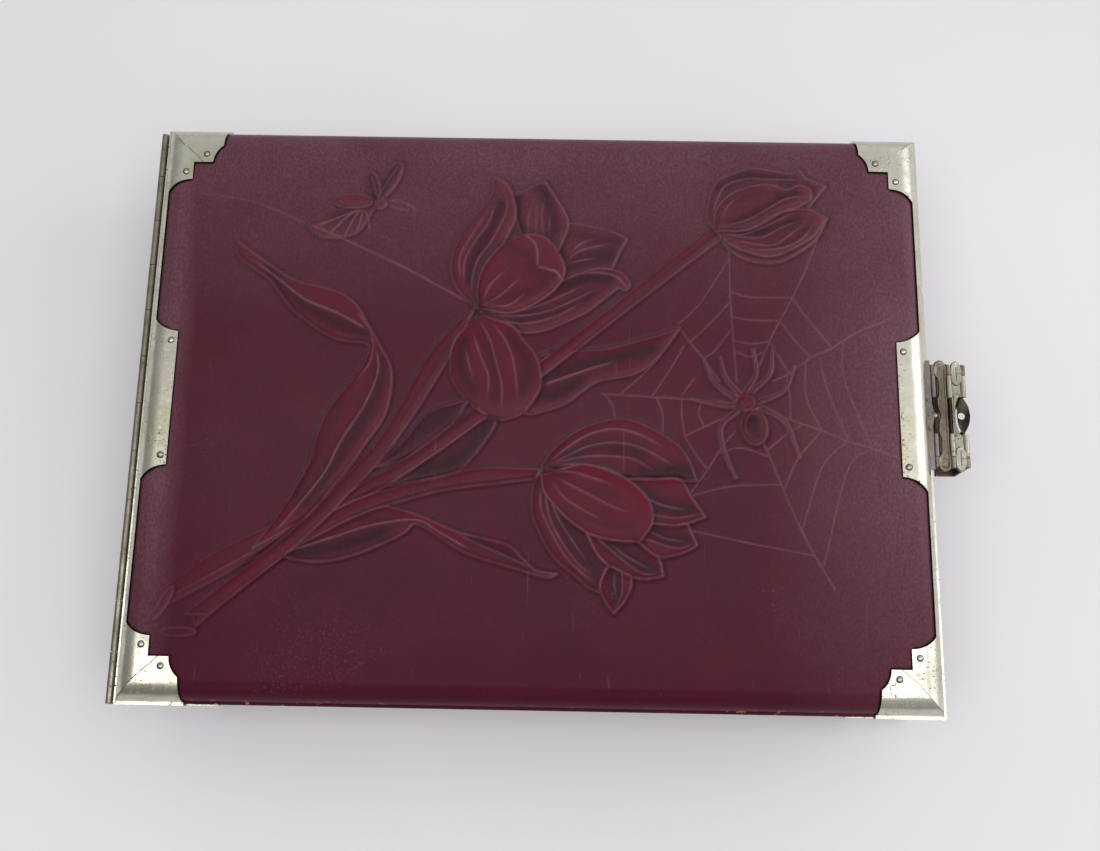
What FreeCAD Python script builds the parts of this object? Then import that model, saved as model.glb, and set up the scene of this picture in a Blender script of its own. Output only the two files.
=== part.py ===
import FreeCAD, Part
import os

import Sketcher

# A book-form leather jewellery case. Frame: +Z up, +X from the hinge to the clasp, +Y along the hinge.
# The origin is the middle of the underside. All sizes are millimetres and live in the sheet "sizes".

DIMENSIONS = {
    # covers
    "cover_length": 290.0,
    "cover_width": 218.0,
    "metal_skin": 0.5,
    "leather_skin": 1.2,
    "turn_in": 0.5,
    "turn_margin": 13.0,
    # lid
    "lid_underside": 44.4,
    "lid_board_thick": 2.2,
    "shoulder_inset": 1.1,
    "shoulder_round": 8.0,
    "crown_rise": 1.6,
    # base cover
    "base_skin": 1.2,
    "base_board_thick": 3.0,
    # case walls
    "wall_left": -144.0,
    "wall_right": 139.0,
    "wall_half_width": 102.5,
    "wall_thick": 5.0,
    "wall_skin": 1.0,
    "wall_top": 43.1,
    "lining_thick": 1.3,
    "floor_thick": 1.2,
    # lid lining
    "lining_left": 18.0,
    "lining_right": 21.0,
    "lining_side": 19.0,
    "lining_board_thick": 1.2,
    "satin_pad_thick": 3.0,
    "satin_margin": 3.0,
    # compartments
    "divider_thick": 3.0,
    "divider_top": 34.0,
    "ring_divider_at": -50.0,
    "short_divider_at": 45.0,
    "pad_thick": 4.0,
    "roll_round": 10.6,
    "roll_pitch": 23.9,
    "roll_centre": 20.2,
    # corner mounts, measured in from the cover's corner
    "corner_reach": 24.7,
    "corner_waist": 24.0,
    "corner_waist_at": 9.5,
    "corner_step": 20.5,
    "corner_step_at": 16.5,
    "tab_reach": 13.2,
    "corner_tab_at": 23.5,
    "corner_end_at": 28.0,
    "rail_reach": 3.9,
    "tab_half_length": 25.0,
    "tab_half_foot": 30.0,
    # rivets and screws
    "rivet_head": 1.32,
    "rivet_shank": 0.6,
    "tab_rivet_reach": 10.9,
    "tab_rivet_along": 21.5,
    "screw_head": 1.6,
    "screw_shank": 0.8,
    # hinge
    "hinge_across": -147.5,
    "hinge_up": 45.0,
    "knuckle_round": 1.4,
    "hinge_pin_round": 0.6,
    "pin_clearance": 0.03,
    "knuckle_gap": 0.3,
    "leaf_thick": 0.6,
    "leaf_reach": 13.0,
    # clasp
    "clasp_up": 46.6,
    "clasp_half_length": 20.6,
    "clasp_first": 147.3,
    "clasp_second": 153.2,
    "clasp_third": 158.3,
    "clasp_knuckle": 1.15,
    "clasp_pin": 0.5,
    "clasp_plate_thick": 0.8,
    "inner_knuckle_from": 6.9,
    "inner_knuckle_to": 15.3,
    "outer_knuckle_from": 15.6,
    "outer_knuckle_to": 19.4,
    "hasp_drop": 16.0,
    "hasp_foot": 7.2,
    "tab_tilt": 52.0,
}
KNUCKLES = 12
RING_ROLLS = 8


class Size:
    """A length that carries its value and the sheet expression that gives it."""

    def __init__(self, value, text):
        self.value = value
        self.text = text

    @staticmethod
    def of(other):
        if isinstance(other, Size):
            return other
        return Size(float(other), f"({float(other)})")

    def _join(self, other, sign, value):
        return Size(value, f"({self.text} {sign} {Size.of(other).text})")

    def __add__(self, other):
        return self._join(other, "+", self.value + Size.of(other).value)

    def __radd__(self, other):
        return Size.of(other) + self

    def __sub__(self, other):
        return self._join(other, "-", self.value - Size.of(other).value)

    def __rsub__(self, other):
        return Size.of(other) - self

    def __mul__(self, other):
        return self._join(other, "*", self.value * Size.of(other).value)

    def __rmul__(self, other):
        return Size.of(other) * self

    def __truediv__(self, other):
        return self._join(other, "/", self.value / Size.of(other).value)

    def __neg__(self):
        return self * -1


doc = FreeCAD.newDocument("jewellery_case")
sheet = doc.addObject("Spreadsheet::Sheet", "sizes")
size = {}
for row, (alias, number) in enumerate(DIMENSIONS.items(), start=1):
    sheet.set(f"A{row}", alias)
    sheet.set(f"B{row}", str(number))
    sheet.setAlias(f"B{row}", alias)
    size[alias] = Size(number, f"sizes.{alias}")
doc.recompute()

nodes = []


def node(shape_object, label):
    """Names a finished sub-part; every node is written to its own file at the end."""
    shape_object.Label = label
    nodes.append(shape_object)
    return shape_object


def bind(thing, prop, value):
    thing.setExpression(prop, Size.of(value).text)


def place(thing, position):
    for letter, value in zip("xyz", position):
        bind(thing, f"Placement.Base.{letter}", value)


def block(name, low, high):
    box = doc.addObject("Part::Box", name)
    for prop, start, end in zip(("Length", "Width", "Height"), low, high):
        bind(box, prop, Size.of(end) - start)
    place(box, low)
    return box


AXIS_TURNS = {
    "x": FreeCAD.Rotation(FreeCAD.Vector(0, 1, 0), 90),
    "y": FreeCAD.Rotation(FreeCAD.Vector(1, 0, 0), -90),
    "z": FreeCAD.Rotation(),
}


def rod(name, radius, start, length, axis="z"):
    """A cylinder that runs from start along a positive axis."""
    cylinder = doc.addObject("Part::Cylinder", name)
    bind(cylinder, "Radius", radius)
    bind(cylinder, "Height", length)
    cylinder.Placement = FreeCAD.Placement(FreeCAD.Vector(), AXIS_TURNS[axis])
    place(cylinder, start)
    return cylinder


def fuse(name, shapes):
    joined = doc.addObject("Part::MultiFuse", name)
    joined.Shapes = shapes
    return joined


def cut(name, base, tool):
    rest = doc.addObject("Part::Cut", name)
    rest.Base = base
    rest.Tool = tool
    return rest


def common(name, first, second):
    shared = doc.addObject("Part::Common", name)
    shared.Base = first
    shared.Tool = second
    return shared


def arc_through(start, end, radius, toward):
    """The middle point of the arc from start to end that bulges towards a given point."""
    chord = end - start
    middle = (start + end) * 0.5
    half = chord.Length / 2
    rise = radius - (radius**2 - half**2) ** 0.5
    normal = FreeCAD.Vector(-chord.y, chord.x, 0).normalize()
    if normal.dot(toward - middle) < 0:
        normal = normal * -1
    return middle + normal * rise


def outline(body, plane, name, corners):
    """A closed, fully driven sketch. A corner is (across, up), or (across, up, radius, toward) where the
    edge that follows it is an arc bulging towards a point."""
    sketch = body.newObject("Sketcher::SketchObject", name)
    planes = [item for item in body.Origin.OriginFeatures if item.Role == plane]
    sketch.AttachmentSupport = [(planes[0], "")]
    sketch.MapMode = "FlatFace"
    points = [FreeCAD.Vector(Size.of(c[0]).value, Size.of(c[1]).value, 0) for c in corners]
    ends = []
    for index, corner in enumerate(corners):
        start = points[index]
        end = points[(index + 1) % len(points)]
        if len(corner) == 2:
            edge = sketch.addGeometry(Part.LineSegment(start, end), False)
            ends.append((edge, 1, 2))
            continue
        toward = FreeCAD.Vector(*[Size.of(value).value for value in corner[3]], 0)
        middle = arc_through(start, end, Size.of(corner[2]).value, toward)
        edge = sketch.addGeometry(Part.Arc(start, middle, end), False)
        forward = (sketch.getPoint(edge, 1) - start).Length < 1e-6
        ends.append((edge, 1, 2) if forward else (edge, 2, 1))
    for index, (edge, first, last) in enumerate(ends):
        following, following_first, _ = ends[(index + 1) % len(ends)]
        sketch.addConstraint(Sketcher.Constraint("Coincident", edge, last, following, following_first))
        for kind, value in zip(("DistanceX", "DistanceY"), corners[index]):
            value = Size.of(value)
            number = sketch.addConstraint(Sketcher.Constraint(kind, edge, first, value.value))
            sketch.setExpression(f"Constraints[{number}]", value.text)
        if len(corners[index]) == 4:
            radius = Size.of(corners[index][2])
            number = sketch.addConstraint(Sketcher.Constraint("Radius", edge, radius.value))
            sketch.setExpression(f"Constraints[{number}]", radius.text)
    return sketch


def prism(name, plane, corners, length, symmetric=False, start=(0, 0, 0)):
    """A padded outline: its own body, moved to start."""
    body = doc.addObject("PartDesign::Body", name)
    sketch = outline(body, plane, name + "_outline", corners)
    pad = body.newObject("PartDesign::Pad", name + "_pad")
    pad.Profile = sketch
    bind(pad, "Length", length)
    pad.SideType = "Symmetric" if symmetric else "One side"
    place(body, start)
    return body


# ---------------------------------------------------------------- the padded cover form

half_length = size["cover_length"] / 2
half_width = size["cover_width"] / 2
lip_up = size["lid_underside"] + size["lid_board_thick"] + size["leather_skin"]
board_top = size["lid_underside"] + size["lid_board_thick"]


def crown_radius(half_chord):
    rise = size["crown_rise"]
    return half_chord * half_chord / (rise * 2) + rise / 2


def cover_profile(half, grow, bottom, with_lip):
    """Lip, quarter-round shoulder and slightly crowned top; grow moves the surface outwards."""
    edge = half - size["metal_skin"] + grow
    foot = edge - size["shoulder_inset"]
    lip = lip_up + grow
    flat = foot - size["shoulder_round"]
    top = lip + size["shoulder_round"]
    centre_side = (0.0, 400.0)
    corners = [
        (-foot, lip, size["shoulder_round"], (-edge * 2, top * 2)),
        (-flat, top, crown_radius(flat), centre_side),
        (flat, top, size["shoulder_round"], (edge * 2, top * 2)),
        (foot, lip),
    ]
    if with_lip:
        corners += [(edge, lip), (edge, bottom), (-edge, bottom), (-edge, lip)]
    return corners


def cover_form(name, grow, bottom, with_lip=True):
    """The cover's cushion shape: a long and a cross profile that meet in mitred corners."""
    long_way = prism(
        name + "_long", "XZ_Plane", cover_profile(half_length, grow, bottom, with_lip),
        size["cover_width"] + 20, symmetric=True)
    short_way = prism(
        name + "_short", "YZ_Plane", cover_profile(half_width, grow, bottom, with_lip),
        size["cover_length"] + 20, symmetric=True)
    return common(name, long_way, short_way)


def mount_outline(side):
    """One stamping along a short side: corner, rail, centre tab, rail, corner."""
    def spot(reach, along, end):
        return (side * (half_length - reach), end * (half_width - along))

    def half_run(end):
        return [
            (spot(size["corner_reach"], -2, end), None),
            (spot(size["corner_waist"], size["corner_waist_at"], end), (9.0, spot(0, 0, end))),
            (spot(size["corner_step"], size["corner_step_at"], end), None),
            (spot(size["tab_reach"], size["corner_step_at"], end), None),
            (spot(size["tab_reach"], size["corner_tab_at"], end), (12.0, spot(0, 0, end))),
            (spot(size["rail_reach"], size["corner_end_at"], end), None),
            (spot(size["rail_reach"], half_width - size["tab_half_foot"], end),
             (12.0, spot(0, half_width, end))),
            (spot(size["tab_reach"], half_width - size["tab_half_length"], end), None),
        ]

    going = half_run(1)
    coming = []
    mirrored = half_run(-1)
    for index in range(len(mirrored) - 1, -1, -1):
        arc = mirrored[index - 1][1] if index else None
        coming.append((mirrored[index][0], arc))
    corners = []
    for point, arc in going + coming:
        corners.append(point if arc is None else (*point, *arc))
    return corners + [spot(-2, -2, -1), spot(-2, -2, 1)]


# ---------------------------------------------------------------- lid

lid_board = node(block(
    "lid_board",
    (-half_length + 1.7, -half_width + 1.7, size["lid_underside"]),
    (half_length - 1.7, half_width - 1.7, board_top)), "lid_board")

padding = node(cover_form("lid_padding", -size["leather_skin"], board_top, False), "lid_padding")

turn_bottom = size["lid_underside"] - size["turn_in"]
leather_form = cover_form("lid_leather_form", Size.of(0), turn_bottom)
window = block(
    "lid_turn_in_window",
    (-half_length + size["turn_margin"], -half_width + size["turn_margin"], turn_bottom - 1),
    (half_length - size["turn_margin"], half_width - size["turn_margin"], size["lid_underside"]))
leaf_recess = block(
    "lid_leaf_recess",
    (-half_length - 1, -half_width - 1, turn_bottom - 1),
    (-half_length + size["turn_margin"] + 1, half_width + 1, size["lid_underside"]))
lid_leather = node(cut(
    "lid_leather", leather_form,
    fuse("lid_leather_inside", [lid_board, padding, window, leaf_recess])), "lid_leather_cover")

metal_form = cover_form("lid_metal_form", size["metal_skin"], size["lid_underside"])
metal_shell = cut("lid_metal_shell", metal_form, leather_form)
for side, where in ((-1, "left"), (1, "right")):
    plan = prism(f"lid_mount_plan_{where}", "XY_Plane", mount_outline(side), 40, start=(0, 0, 30))
    node(common(f"lid_mount_{where}", metal_shell, plan), f"lid_mount_{where}")

# corner rivets: how far in from the cover's short side and long side
RIVET_SPOTS = ((10.5, 20.5), (17.9, 13.2))


def crown_height(reach_x, reach_y, grow):
    """Height of the crowned top at a spot measured in from the cover's edges."""
    top = lip_up + grow + size["shoulder_round"]
    rises = []
    for half, reach in ((half_length, reach_x), (half_width, reach_y)):
        flat = half - size["metal_skin"] + grow - size["shoulder_inset"] - size["shoulder_round"]
        spot = half - reach
        rises.append(size["crown_rise"] * (1 - spot * spot / (flat * flat)))
    lower = min(rises, key=lambda rise: rise.value)
    return top + lower


def mount_rivet_places():
    places = []
    for side in (-1, 1):
        for end in (-1, 1):
            for reach, along in RIVET_SPOTS:
                top = crown_height(Size.of(reach), Size.of(along), size["metal_skin"])
                places.append((side * (half_length - reach), end * (half_width - along), top))
            reach, along = size["tab_rivet_reach"], size["tab_rivet_along"]
            top = crown_height(reach, half_width - along, size["metal_skin"])
            places.append((side * (half_length - reach), end * along, top))
    return places


def dome_rivet(name, spot, shank_length):
    """A domed head on a shank that goes down into the board."""
    across, along, top = spot
    head = doc.addObject("Part::Sphere", name + "_head")
    bind(head, "Radius", size["rivet_head"])
    head.Angle1 = 33.0
    place(head, (across, along, top - size["rivet_head"] * 0.60))
    shank = rod(name + "_shank", size["rivet_shank"], (across, along, top - shank_length),
                Size.of(shank_length) + 0.1)
    return fuse(name, [head, shank])


node(fuse("lid_mount_rivets", [
    dome_rivet(f"lid_rivet_{number}", spot, 6.0)
    for number, spot in enumerate(mount_rivet_places())]), "lid_mount_rivets")

lining_low = size["lid_underside"] - size["lining_board_thick"]
lining_corner = (-half_length + size["lining_left"], -half_width + size["lining_side"])
lining_far = (half_length - size["lining_right"], half_width - size["lining_side"])
node(block("lid_lining_board", (*lining_corner, lining_low), (*lining_far, size["lid_underside"])),
     "lid_lining_board")
margin = size["satin_margin"]
node(block("lid_satin_pad",
           (lining_corner[0] + margin, lining_corner[1] + margin, lining_low - size["satin_pad_thick"]),
           (lining_far[0] - margin, lining_far[1] - margin, lining_low)), "lid_satin_pad")

# ---------------------------------------------------------------- base cover

base_top = size["base_skin"] + size["base_board_thick"]
base_board = node(block(
    "base_board",
    (-half_length + 1.7, -half_width + 1.7, size["base_skin"]),
    (half_length - 1.7, half_width - 1.7, base_top)), "base_board")
base_block = block("base_block", (-half_length, -half_width, 0), (half_length, half_width, base_top - 0.3))
base_inner = block(
    "base_inner",
    (-half_length + size["metal_skin"], -half_width + size["metal_skin"], size["metal_skin"]),
    (half_length - size["metal_skin"], half_width - size["metal_skin"], base_top + 5))
base_shell = cut("base_metal_shell", base_block, base_inner)
base_mounts = []
for side, where in ((-1, "left"), (1, "right")):
    plan = prism(f"base_mount_plan_{where}", "XY_Plane", mount_outline(side), 20, start=(0, 0, -5))
    mount = node(common(f"base_mount_{where}", base_shell, plan), f"base_mount_{where}")
    base_mounts.append(mount)
base_hide = block(
    "base_hide",
    (-half_length + size["metal_skin"], -half_width + size["metal_skin"], 0),
    (half_length - size["metal_skin"], half_width - size["metal_skin"], base_top + size["turn_in"]))
skin_left = size["wall_left"] - size["wall_skin"]
skin_right = size["wall_right"] + size["wall_skin"]
skin_half = size["wall_half_width"] + size["wall_skin"]
wall_footprint = block(
    "wall_footprint", (skin_left - 5, -skin_half, base_top), (skin_right, skin_half, base_top + 5))
node(cut("base_leather", base_hide, fuse("base_leather_inside", [base_board, wall_footprint, *base_mounts])),
     "base_leather_cover")

# ---------------------------------------------------------------- walls, linings and compartments

inner_left = size["wall_left"] + size["wall_thick"]
inner_right = size["wall_right"] - size["wall_thick"]
inner_half = size["wall_half_width"] - size["wall_thick"]
wall_half = size["wall_half_width"]
wall_top = size["wall_top"]

for where, low_y, high_y in (("front", -wall_half, -inner_half), ("back", inner_half, wall_half)):
    node(block(f"{where}_wall", (size["wall_left"], low_y, base_top),
               (size["wall_right"], high_y, wall_top)), f"{where}_wall")
node(block("spine_wall", (size["wall_left"], -inner_half, base_top),
           (inner_left, inner_half, wall_top)), "spine_wall")
node(block("fore_edge_wall", (inner_right, -inner_half, base_top),
           (size["wall_right"], inner_half, wall_top)), "fore_edge_wall")

wall_hide = block("wall_hide", (skin_left, -skin_half, base_top),
                  (skin_right, skin_half, wall_top + size["turn_in"]))
wall_solid = block("wall_solid", (size["wall_left"], -wall_half, base_top - 1),
                   (size["wall_right"], wall_half, wall_top))
wall_mouth = block("wall_mouth", (inner_left, -inner_half, wall_top - 1),
                   (inner_right, inner_half, wall_top + 2))
node(cut("wall_leather", wall_hide, fuse("wall_leather_inside", [wall_solid, wall_mouth])), "wall_leather")

floor_top = base_top + size["floor_thick"]
node(block("floor_lining", (inner_left, -inner_half, base_top), (inner_right, inner_half, floor_top)),
     "floor_lining")
lined_left = inner_left + size["lining_thick"]
lined_right = inner_right - size["lining_thick"]
lined_half = inner_half - size["lining_thick"]
node(cut("wall_lining",
         block("lining_outside", (inner_left, -inner_half, floor_top), (inner_right, inner_half, wall_top)),
         block("lining_inside", (lined_left, -lined_half, floor_top - 1),
               (lined_right, lined_half, wall_top + 1))), "wall_lining")

half_divider = size["divider_thick"] / 2
divider_top = size["divider_top"]
ring_side = size["ring_divider_at"] - half_divider
tray_side = size["ring_divider_at"] + half_divider
node(block("ring_divider", (ring_side, -lined_half, floor_top), (tray_side, lined_half, divider_top)),
     "ring_divider")
node(block("long_divider", (tray_side, -half_divider, floor_top), (lined_right, half_divider, divider_top)),
     "long_divider")
short_low = size["short_divider_at"] - half_divider
short_high = size["short_divider_at"] + half_divider
node(block("short_divider", (short_low, half_divider, floor_top), (short_high, lined_half, divider_top)),
     "short_divider")

PAD_GAP = 0.6
pad_top = floor_top + size["pad_thick"]
for label, low_x, low_y, high_x, high_y in (
        ("ring_bed", lined_left, -lined_half, ring_side, lined_half),
        ("necklace_pad", tray_side, -lined_half, lined_right, -half_divider),
        ("bracelet_pad", tray_side, half_divider, short_low, lined_half),
        ("brooch_pad", short_high, half_divider, lined_right, lined_half)):
    node(block(label, (low_x + PAD_GAP, low_y + PAD_GAP, floor_top),
               (high_x - PAD_GAP, high_y - PAD_GAP, pad_top)), label)

roll_start = lined_left + PAD_GAP
rolls = []
for number in range(RING_ROLLS):
    along = size["roll_pitch"] * (number - (RING_ROLLS - 1) / 2)
    rolls.append(rod(f"ring_roll_{number}", size["roll_round"], (roll_start, along, size["roll_centre"]),
                     ring_side - PAD_GAP - roll_start, "x"))
node(fuse("ring_rolls", rolls), "ring_rolls")

# ---------------------------------------------------------------- full-length hinge

knuckle_pitch = size["cover_width"] / KNUCKLES
knuckle_length = knuckle_pitch - size["knuckle_gap"]
axis_x = size["hinge_across"]
axis_z = size["hinge_up"]
leaf_low = size["lid_underside"] - size["leaf_thick"]
leaf_high = size["lid_underside"]


def knuckle_start(number):
    return knuckle_pitch * (number - KNUCKLES / 2) + size["knuckle_gap"] / 2


lid_leaf_edge = -half_length + 0.4
lid_leaf = [block("lid_leaf_plate", (lid_leaf_edge, -half_width + 0.4, leaf_low),
                  (-half_length + size["leaf_reach"], half_width - 0.4, leaf_high))]
case_leaf_top = size["lid_underside"] - 1.2
case_leaf = [block("case_leaf_plate", (skin_left - size["leaf_thick"], -skin_half, case_leaf_top - 11),
                   (skin_left, skin_half, case_leaf_top))]
for number in range(KNUCKLES):
    start = knuckle_start(number)
    barrel = rod(f"hinge_knuckle_{number}", size["knuckle_round"], (axis_x, start, axis_z),
                 knuckle_length, "y")
    if number % 2 == 0:
        tongue = block(f"hinge_tongue_{number}", (axis_x, start, leaf_low),
                       (lid_leaf_edge, start + knuckle_length, leaf_high))
        lid_leaf += [barrel, tongue]
    else:
        tongue = block(f"hinge_tongue_{number}", (axis_x, start, case_leaf_top - 0.2),
                       (skin_left, start + knuckle_length, case_leaf_top + 1.0))
        case_leaf += [barrel, tongue]
hinge_bore = rod("hinge_bore", size["hinge_pin_round"] + size["pin_clearance"],
                 (axis_x, -half_width - 1, axis_z), size["cover_width"] + 2, "y")
node(cut("hinge_leaf_lid", fuse("lid_leaf_solid", lid_leaf), hinge_bore), "hinge_leaf_lid")
node(cut("hinge_leaf_case", fuse("case_leaf_solid", case_leaf), hinge_bore), "hinge_leaf_case")
node(rod("hinge_pin", size["hinge_pin_round"], (axis_x, -half_width, axis_z), size["cover_width"], "y"),
     "hinge_pin")

SCREWS = 6
SCREW_PITCH = 36.0
SCREW_REACH = 8
screws_lid = []
screws_case = []
for number in range(SCREWS):
    along = SCREW_PITCH * (number - (SCREWS - 1) / 2)
    across = -half_length + SCREW_REACH
    screws_lid.append(fuse(f"lid_screw_{number}", [
        rod(f"lid_screw_head_{number}", size["screw_head"], (across, along, leaf_low),
            size["leaf_thick"]),
        rod(f"lid_screw_shank_{number}", size["screw_shank"], (across, along, leaf_high - 0.3), 2.0)]))
    screws_case.append(fuse(f"case_screw_{number}", [
        rod(f"case_screw_head_{number}", size["screw_head"],
            (skin_left - size["leaf_thick"], along, case_leaf_top - 6), size["leaf_thick"], "x"),
        rod(f"case_screw_shank_{number}", size["screw_shank"], (skin_left, along, case_leaf_top - 6), 4.5,
            "x")]))
node(fuse("hinge_screws_lid", screws_lid), "hinge_screws_lid")
node(fuse("hinge_screws_case", screws_case), "hinge_screws_case")

# ---------------------------------------------------------------- clasp

clasp_z = size["clasp_up"]
clasp_half = size["clasp_half_length"]
sheet_half = size["clasp_plate_thick"] / 2
first_x, second_x, third_x = size["clasp_first"], size["clasp_second"], size["clasp_third"]
bore_round = size["clasp_pin"] + size["pin_clearance"]
KNUCKLE_CLEAR = 1.4


def knuckle_pair(name, across, inner):
    """Two rolled knuckles, one each side of the clasp's middle."""
    low = size["inner_knuckle_from"] if inner else size["outer_knuckle_from"]
    high = size["inner_knuckle_to"] if inner else size["outer_knuckle_to"]
    return [
        rod(f"{name}_knuckle_near", size["clasp_knuckle"], (across, -high, clasp_z), high - low, "y"),
        rod(f"{name}_knuckle_far", size["clasp_knuckle"], (across, low, clasp_z), high - low, "y"),
    ]


def paired_blocks(name, x_low, x_high, y_low, y_high, z_low, z_high):
    return [
        block(f"{name}_near", (x_low, -y_high, z_low), (x_high, -y_low, z_high)),
        block(f"{name}_far", (x_low, y_low, z_low), (x_high, y_high, z_high)),
    ]


def clasp_bore(name, across):
    return rod(name, bore_round, (across, -clasp_half - 2, clasp_z), clasp_half * 2 + 4, "y")


def stadium(name, x_low, x_high, z_low, z_high):
    """A dog-bone plate with round ends."""
    radius = (x_high - x_low) / 2
    straight = clasp_half - radius
    middle = (x_low + x_high) / 2
    corners = [
        (x_high, -straight), (x_high, straight, radius + 0.01, (middle, 90.0)),
        (x_low, straight), (x_low, -straight, radius + 0.01, (middle, -90.0)),
    ]
    return prism(name, "XY_Plane", corners, z_high - z_low, start=(0, 0, z_low))


# plate on the lid's fore edge, with a lens-shaped boss lapping the rail
plate_top = lip_up + size["metal_skin"]
plate_out = half_length + size["clasp_plate_thick"]
plate_parts = [
    block("clasp_plate_face", (half_length, -clasp_half, size["lid_underside"] + 0.2),
          (plate_out, clasp_half, plate_top + 0.6)),
    block("clasp_plate_flange", (half_length - 1.5, -clasp_half, plate_top),
          (plate_out, clasp_half, plate_top + 0.6)),
    prism("clasp_plate_boss", "XY_Plane", [
        (half_length - 0.2, -6.4, 15.0, (130.0, 0.0)),
        (half_length - 0.2, 6.4, 15.0, (160.0, 0.0))], 0.6, start=(0, 0, plate_top + 0.55)),
    rod("clasp_plate_stud", 0.75, (half_length - 0.3, 0, plate_top + 0.6), 1.0),
]
plate_parts += knuckle_pair("plate", first_x, True)
plate_parts += paired_blocks("plate_tongue", plate_out - 0.1, first_x, size["inner_knuckle_from"],
                             size["inner_knuckle_to"], clasp_z - sheet_half, clasp_z + sheet_half)
plate_bored = cut("clasp_plate_bored", fuse("clasp_plate_solid", plate_parts),
                  clasp_bore("plate_bore", first_x))
node(cut("clasp_plate", plate_bored, metal_form), "clasp_plate")

# first link, hinged to the plate
link_low, link_high = first_x - 0.9, second_x + 0.9
link_body = stadium("link_body", link_low, link_high, clasp_z - sheet_half, clasp_z + sheet_half)
link_rim = cut("link_rim",
               stadium("link_rim_outside", link_low, link_high, clasp_z + sheet_half - 0.1,
                       clasp_z + sheet_half + 0.35),
               stadium("link_rim_inside", link_low + 0.9, link_high - 0.9, clasp_z, clasp_z + 2))
link_notches = paired_blocks("link_notch", link_low - 1, first_x + KNUCKLE_CLEAR, -0.1,
                             size["inner_knuckle_to"] + 0.2, clasp_z - 3, clasp_z + 3)
link_notches += paired_blocks("link_gap", second_x - KNUCKLE_CLEAR, link_high + 1, -0.1,
                              size["inner_knuckle_to"] + 0.2, clasp_z - 3, clasp_z + 3)
link_sheet = cut("link_sheet", fuse("link_blank", [link_body, link_rim]),
                 fuse("link_openings", link_notches))
link_solid = fuse("link_solid", [link_sheet, *knuckle_pair("link_first", first_x, False),
                                 *knuckle_pair("link_second", second_x, False)])
node(cut("clasp_link", link_solid,
         fuse("link_bores", [clasp_bore("link_bore_first", first_x),
                             clasp_bore("link_bore_second", second_x)])), "clasp_link")

# strap, hinged to the link
strap_low, strap_high = second_x - 0.6, third_x + 0.6
strap_body = stadium("strap_body", strap_low, strap_high, clasp_z - sheet_half, clasp_z + sheet_half)
strap_cuts = paired_blocks("strap_end_inner", strap_low - 1, second_x + KNUCKLE_CLEAR,
                           size["inner_knuckle_to"] + 0.1, clasp_half + 1, clasp_z - 3, clasp_z + 3)
strap_cuts += paired_blocks("strap_end_outer", third_x - KNUCKLE_CLEAR, strap_high + 1,
                            size["inner_knuckle_to"] + 0.1, clasp_half + 1, clasp_z - 3, clasp_z + 3)
strap_cuts += [
    block("strap_slit", (strap_low - 1, -size["inner_knuckle_from"] + 0.1, clasp_z - 3),
          (second_x + 0.8, size["inner_knuckle_from"] - 0.1, clasp_z + 3)),
    block("strap_thumb_opening", (third_x - 3.4, -size["inner_knuckle_from"] - 0.4, clasp_z - 3),
          (strap_high + 1, size["inner_knuckle_from"] + 0.4, clasp_z + 3)),
]
strap_sheet = cut("strap_sheet", strap_body, fuse("strap_openings", strap_cuts))
strap_knuckles = [*knuckle_pair("strap_second", second_x, True), *knuckle_pair("strap_third", third_x, True)]
strap_solid = cut("strap_trimmed", fuse("strap_joined", [strap_sheet, *strap_knuckles]),
                  block("strap_thumb_clearance",
                        (third_x - 3.4, -size["inner_knuckle_from"] - 0.4, clasp_z - 3),
                        (third_x + 3, size["inner_knuckle_from"] + 0.4, clasp_z + 3)))
node(cut("clasp_strap", strap_solid,
         fuse("strap_bores", [clasp_bore("strap_bore_second", second_x),
                              clasp_bore("strap_bore_third", third_x)])), "clasp_strap")

# hasp: hangs from the strap's outer edge, with a foot that turns in under the lid
leaf_top = clasp_z - KNUCKLE_CLEAR
hasp_bottom = clasp_z - size["hasp_drop"]
hasp_half = clasp_half - 1.0
hasp_parts = [
    block("hasp_leaf", (third_x - sheet_half, -hasp_half, hasp_bottom),
          (third_x + sheet_half, hasp_half, leaf_top)),
    block("hasp_foot", (third_x - size["hasp_foot"], -hasp_half, hasp_bottom),
          (third_x + sheet_half, hasp_half, hasp_bottom + size["clasp_plate_thick"])),
    block("hasp_toe", (third_x - size["hasp_foot"], -hasp_half, hasp_bottom),
          (third_x - size["hasp_foot"] + size["clasp_plate_thick"], hasp_half, hasp_bottom + 2.0)),
    *knuckle_pair("hasp", third_x, False),
    *paired_blocks("hasp_tongue", third_x - sheet_half, third_x + sheet_half,
                   size["outer_knuckle_from"], size["outer_knuckle_to"], leaf_top - 0.1, clasp_z),
]
hasp_window = block("hasp_window", (third_x - 3, -5.0, hasp_bottom + 5), (third_x + 3, 5.0, clasp_z + 3))
node(cut("clasp_hasp", cut("hasp_sheet", fuse("hasp_solid", hasp_parts), hasp_window),
         clasp_bore("hasp_bore", third_x)), "clasp_hasp")

# lens-shaped thumb tab with a round hole, riveted to the top of the hasp
tab_blank = prism("thumb_tab_blank", "XY_Plane", [
    (0.0, -6.6, 11.0, (-40.0, 0.0)), (0.0, 6.6, 11.0, (40.0, 0.0))], 0.6)
tab_hole = rod("thumb_tab_hole", 1.5, (0.1, 0, -1), 3)
thumb_tab = node(cut("clasp_thumb_tab", tab_blank, tab_hole), "clasp_thumb_tab")
thumb_tab.Placement = FreeCAD.Placement(
    FreeCAD.Vector(), FreeCAD.Rotation(FreeCAD.Vector(0, 1, 0), -DIMENSIONS["tab_tilt"]))
place(thumb_tab, (third_x - 0.2, 0, leaf_top + 0.3))

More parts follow.
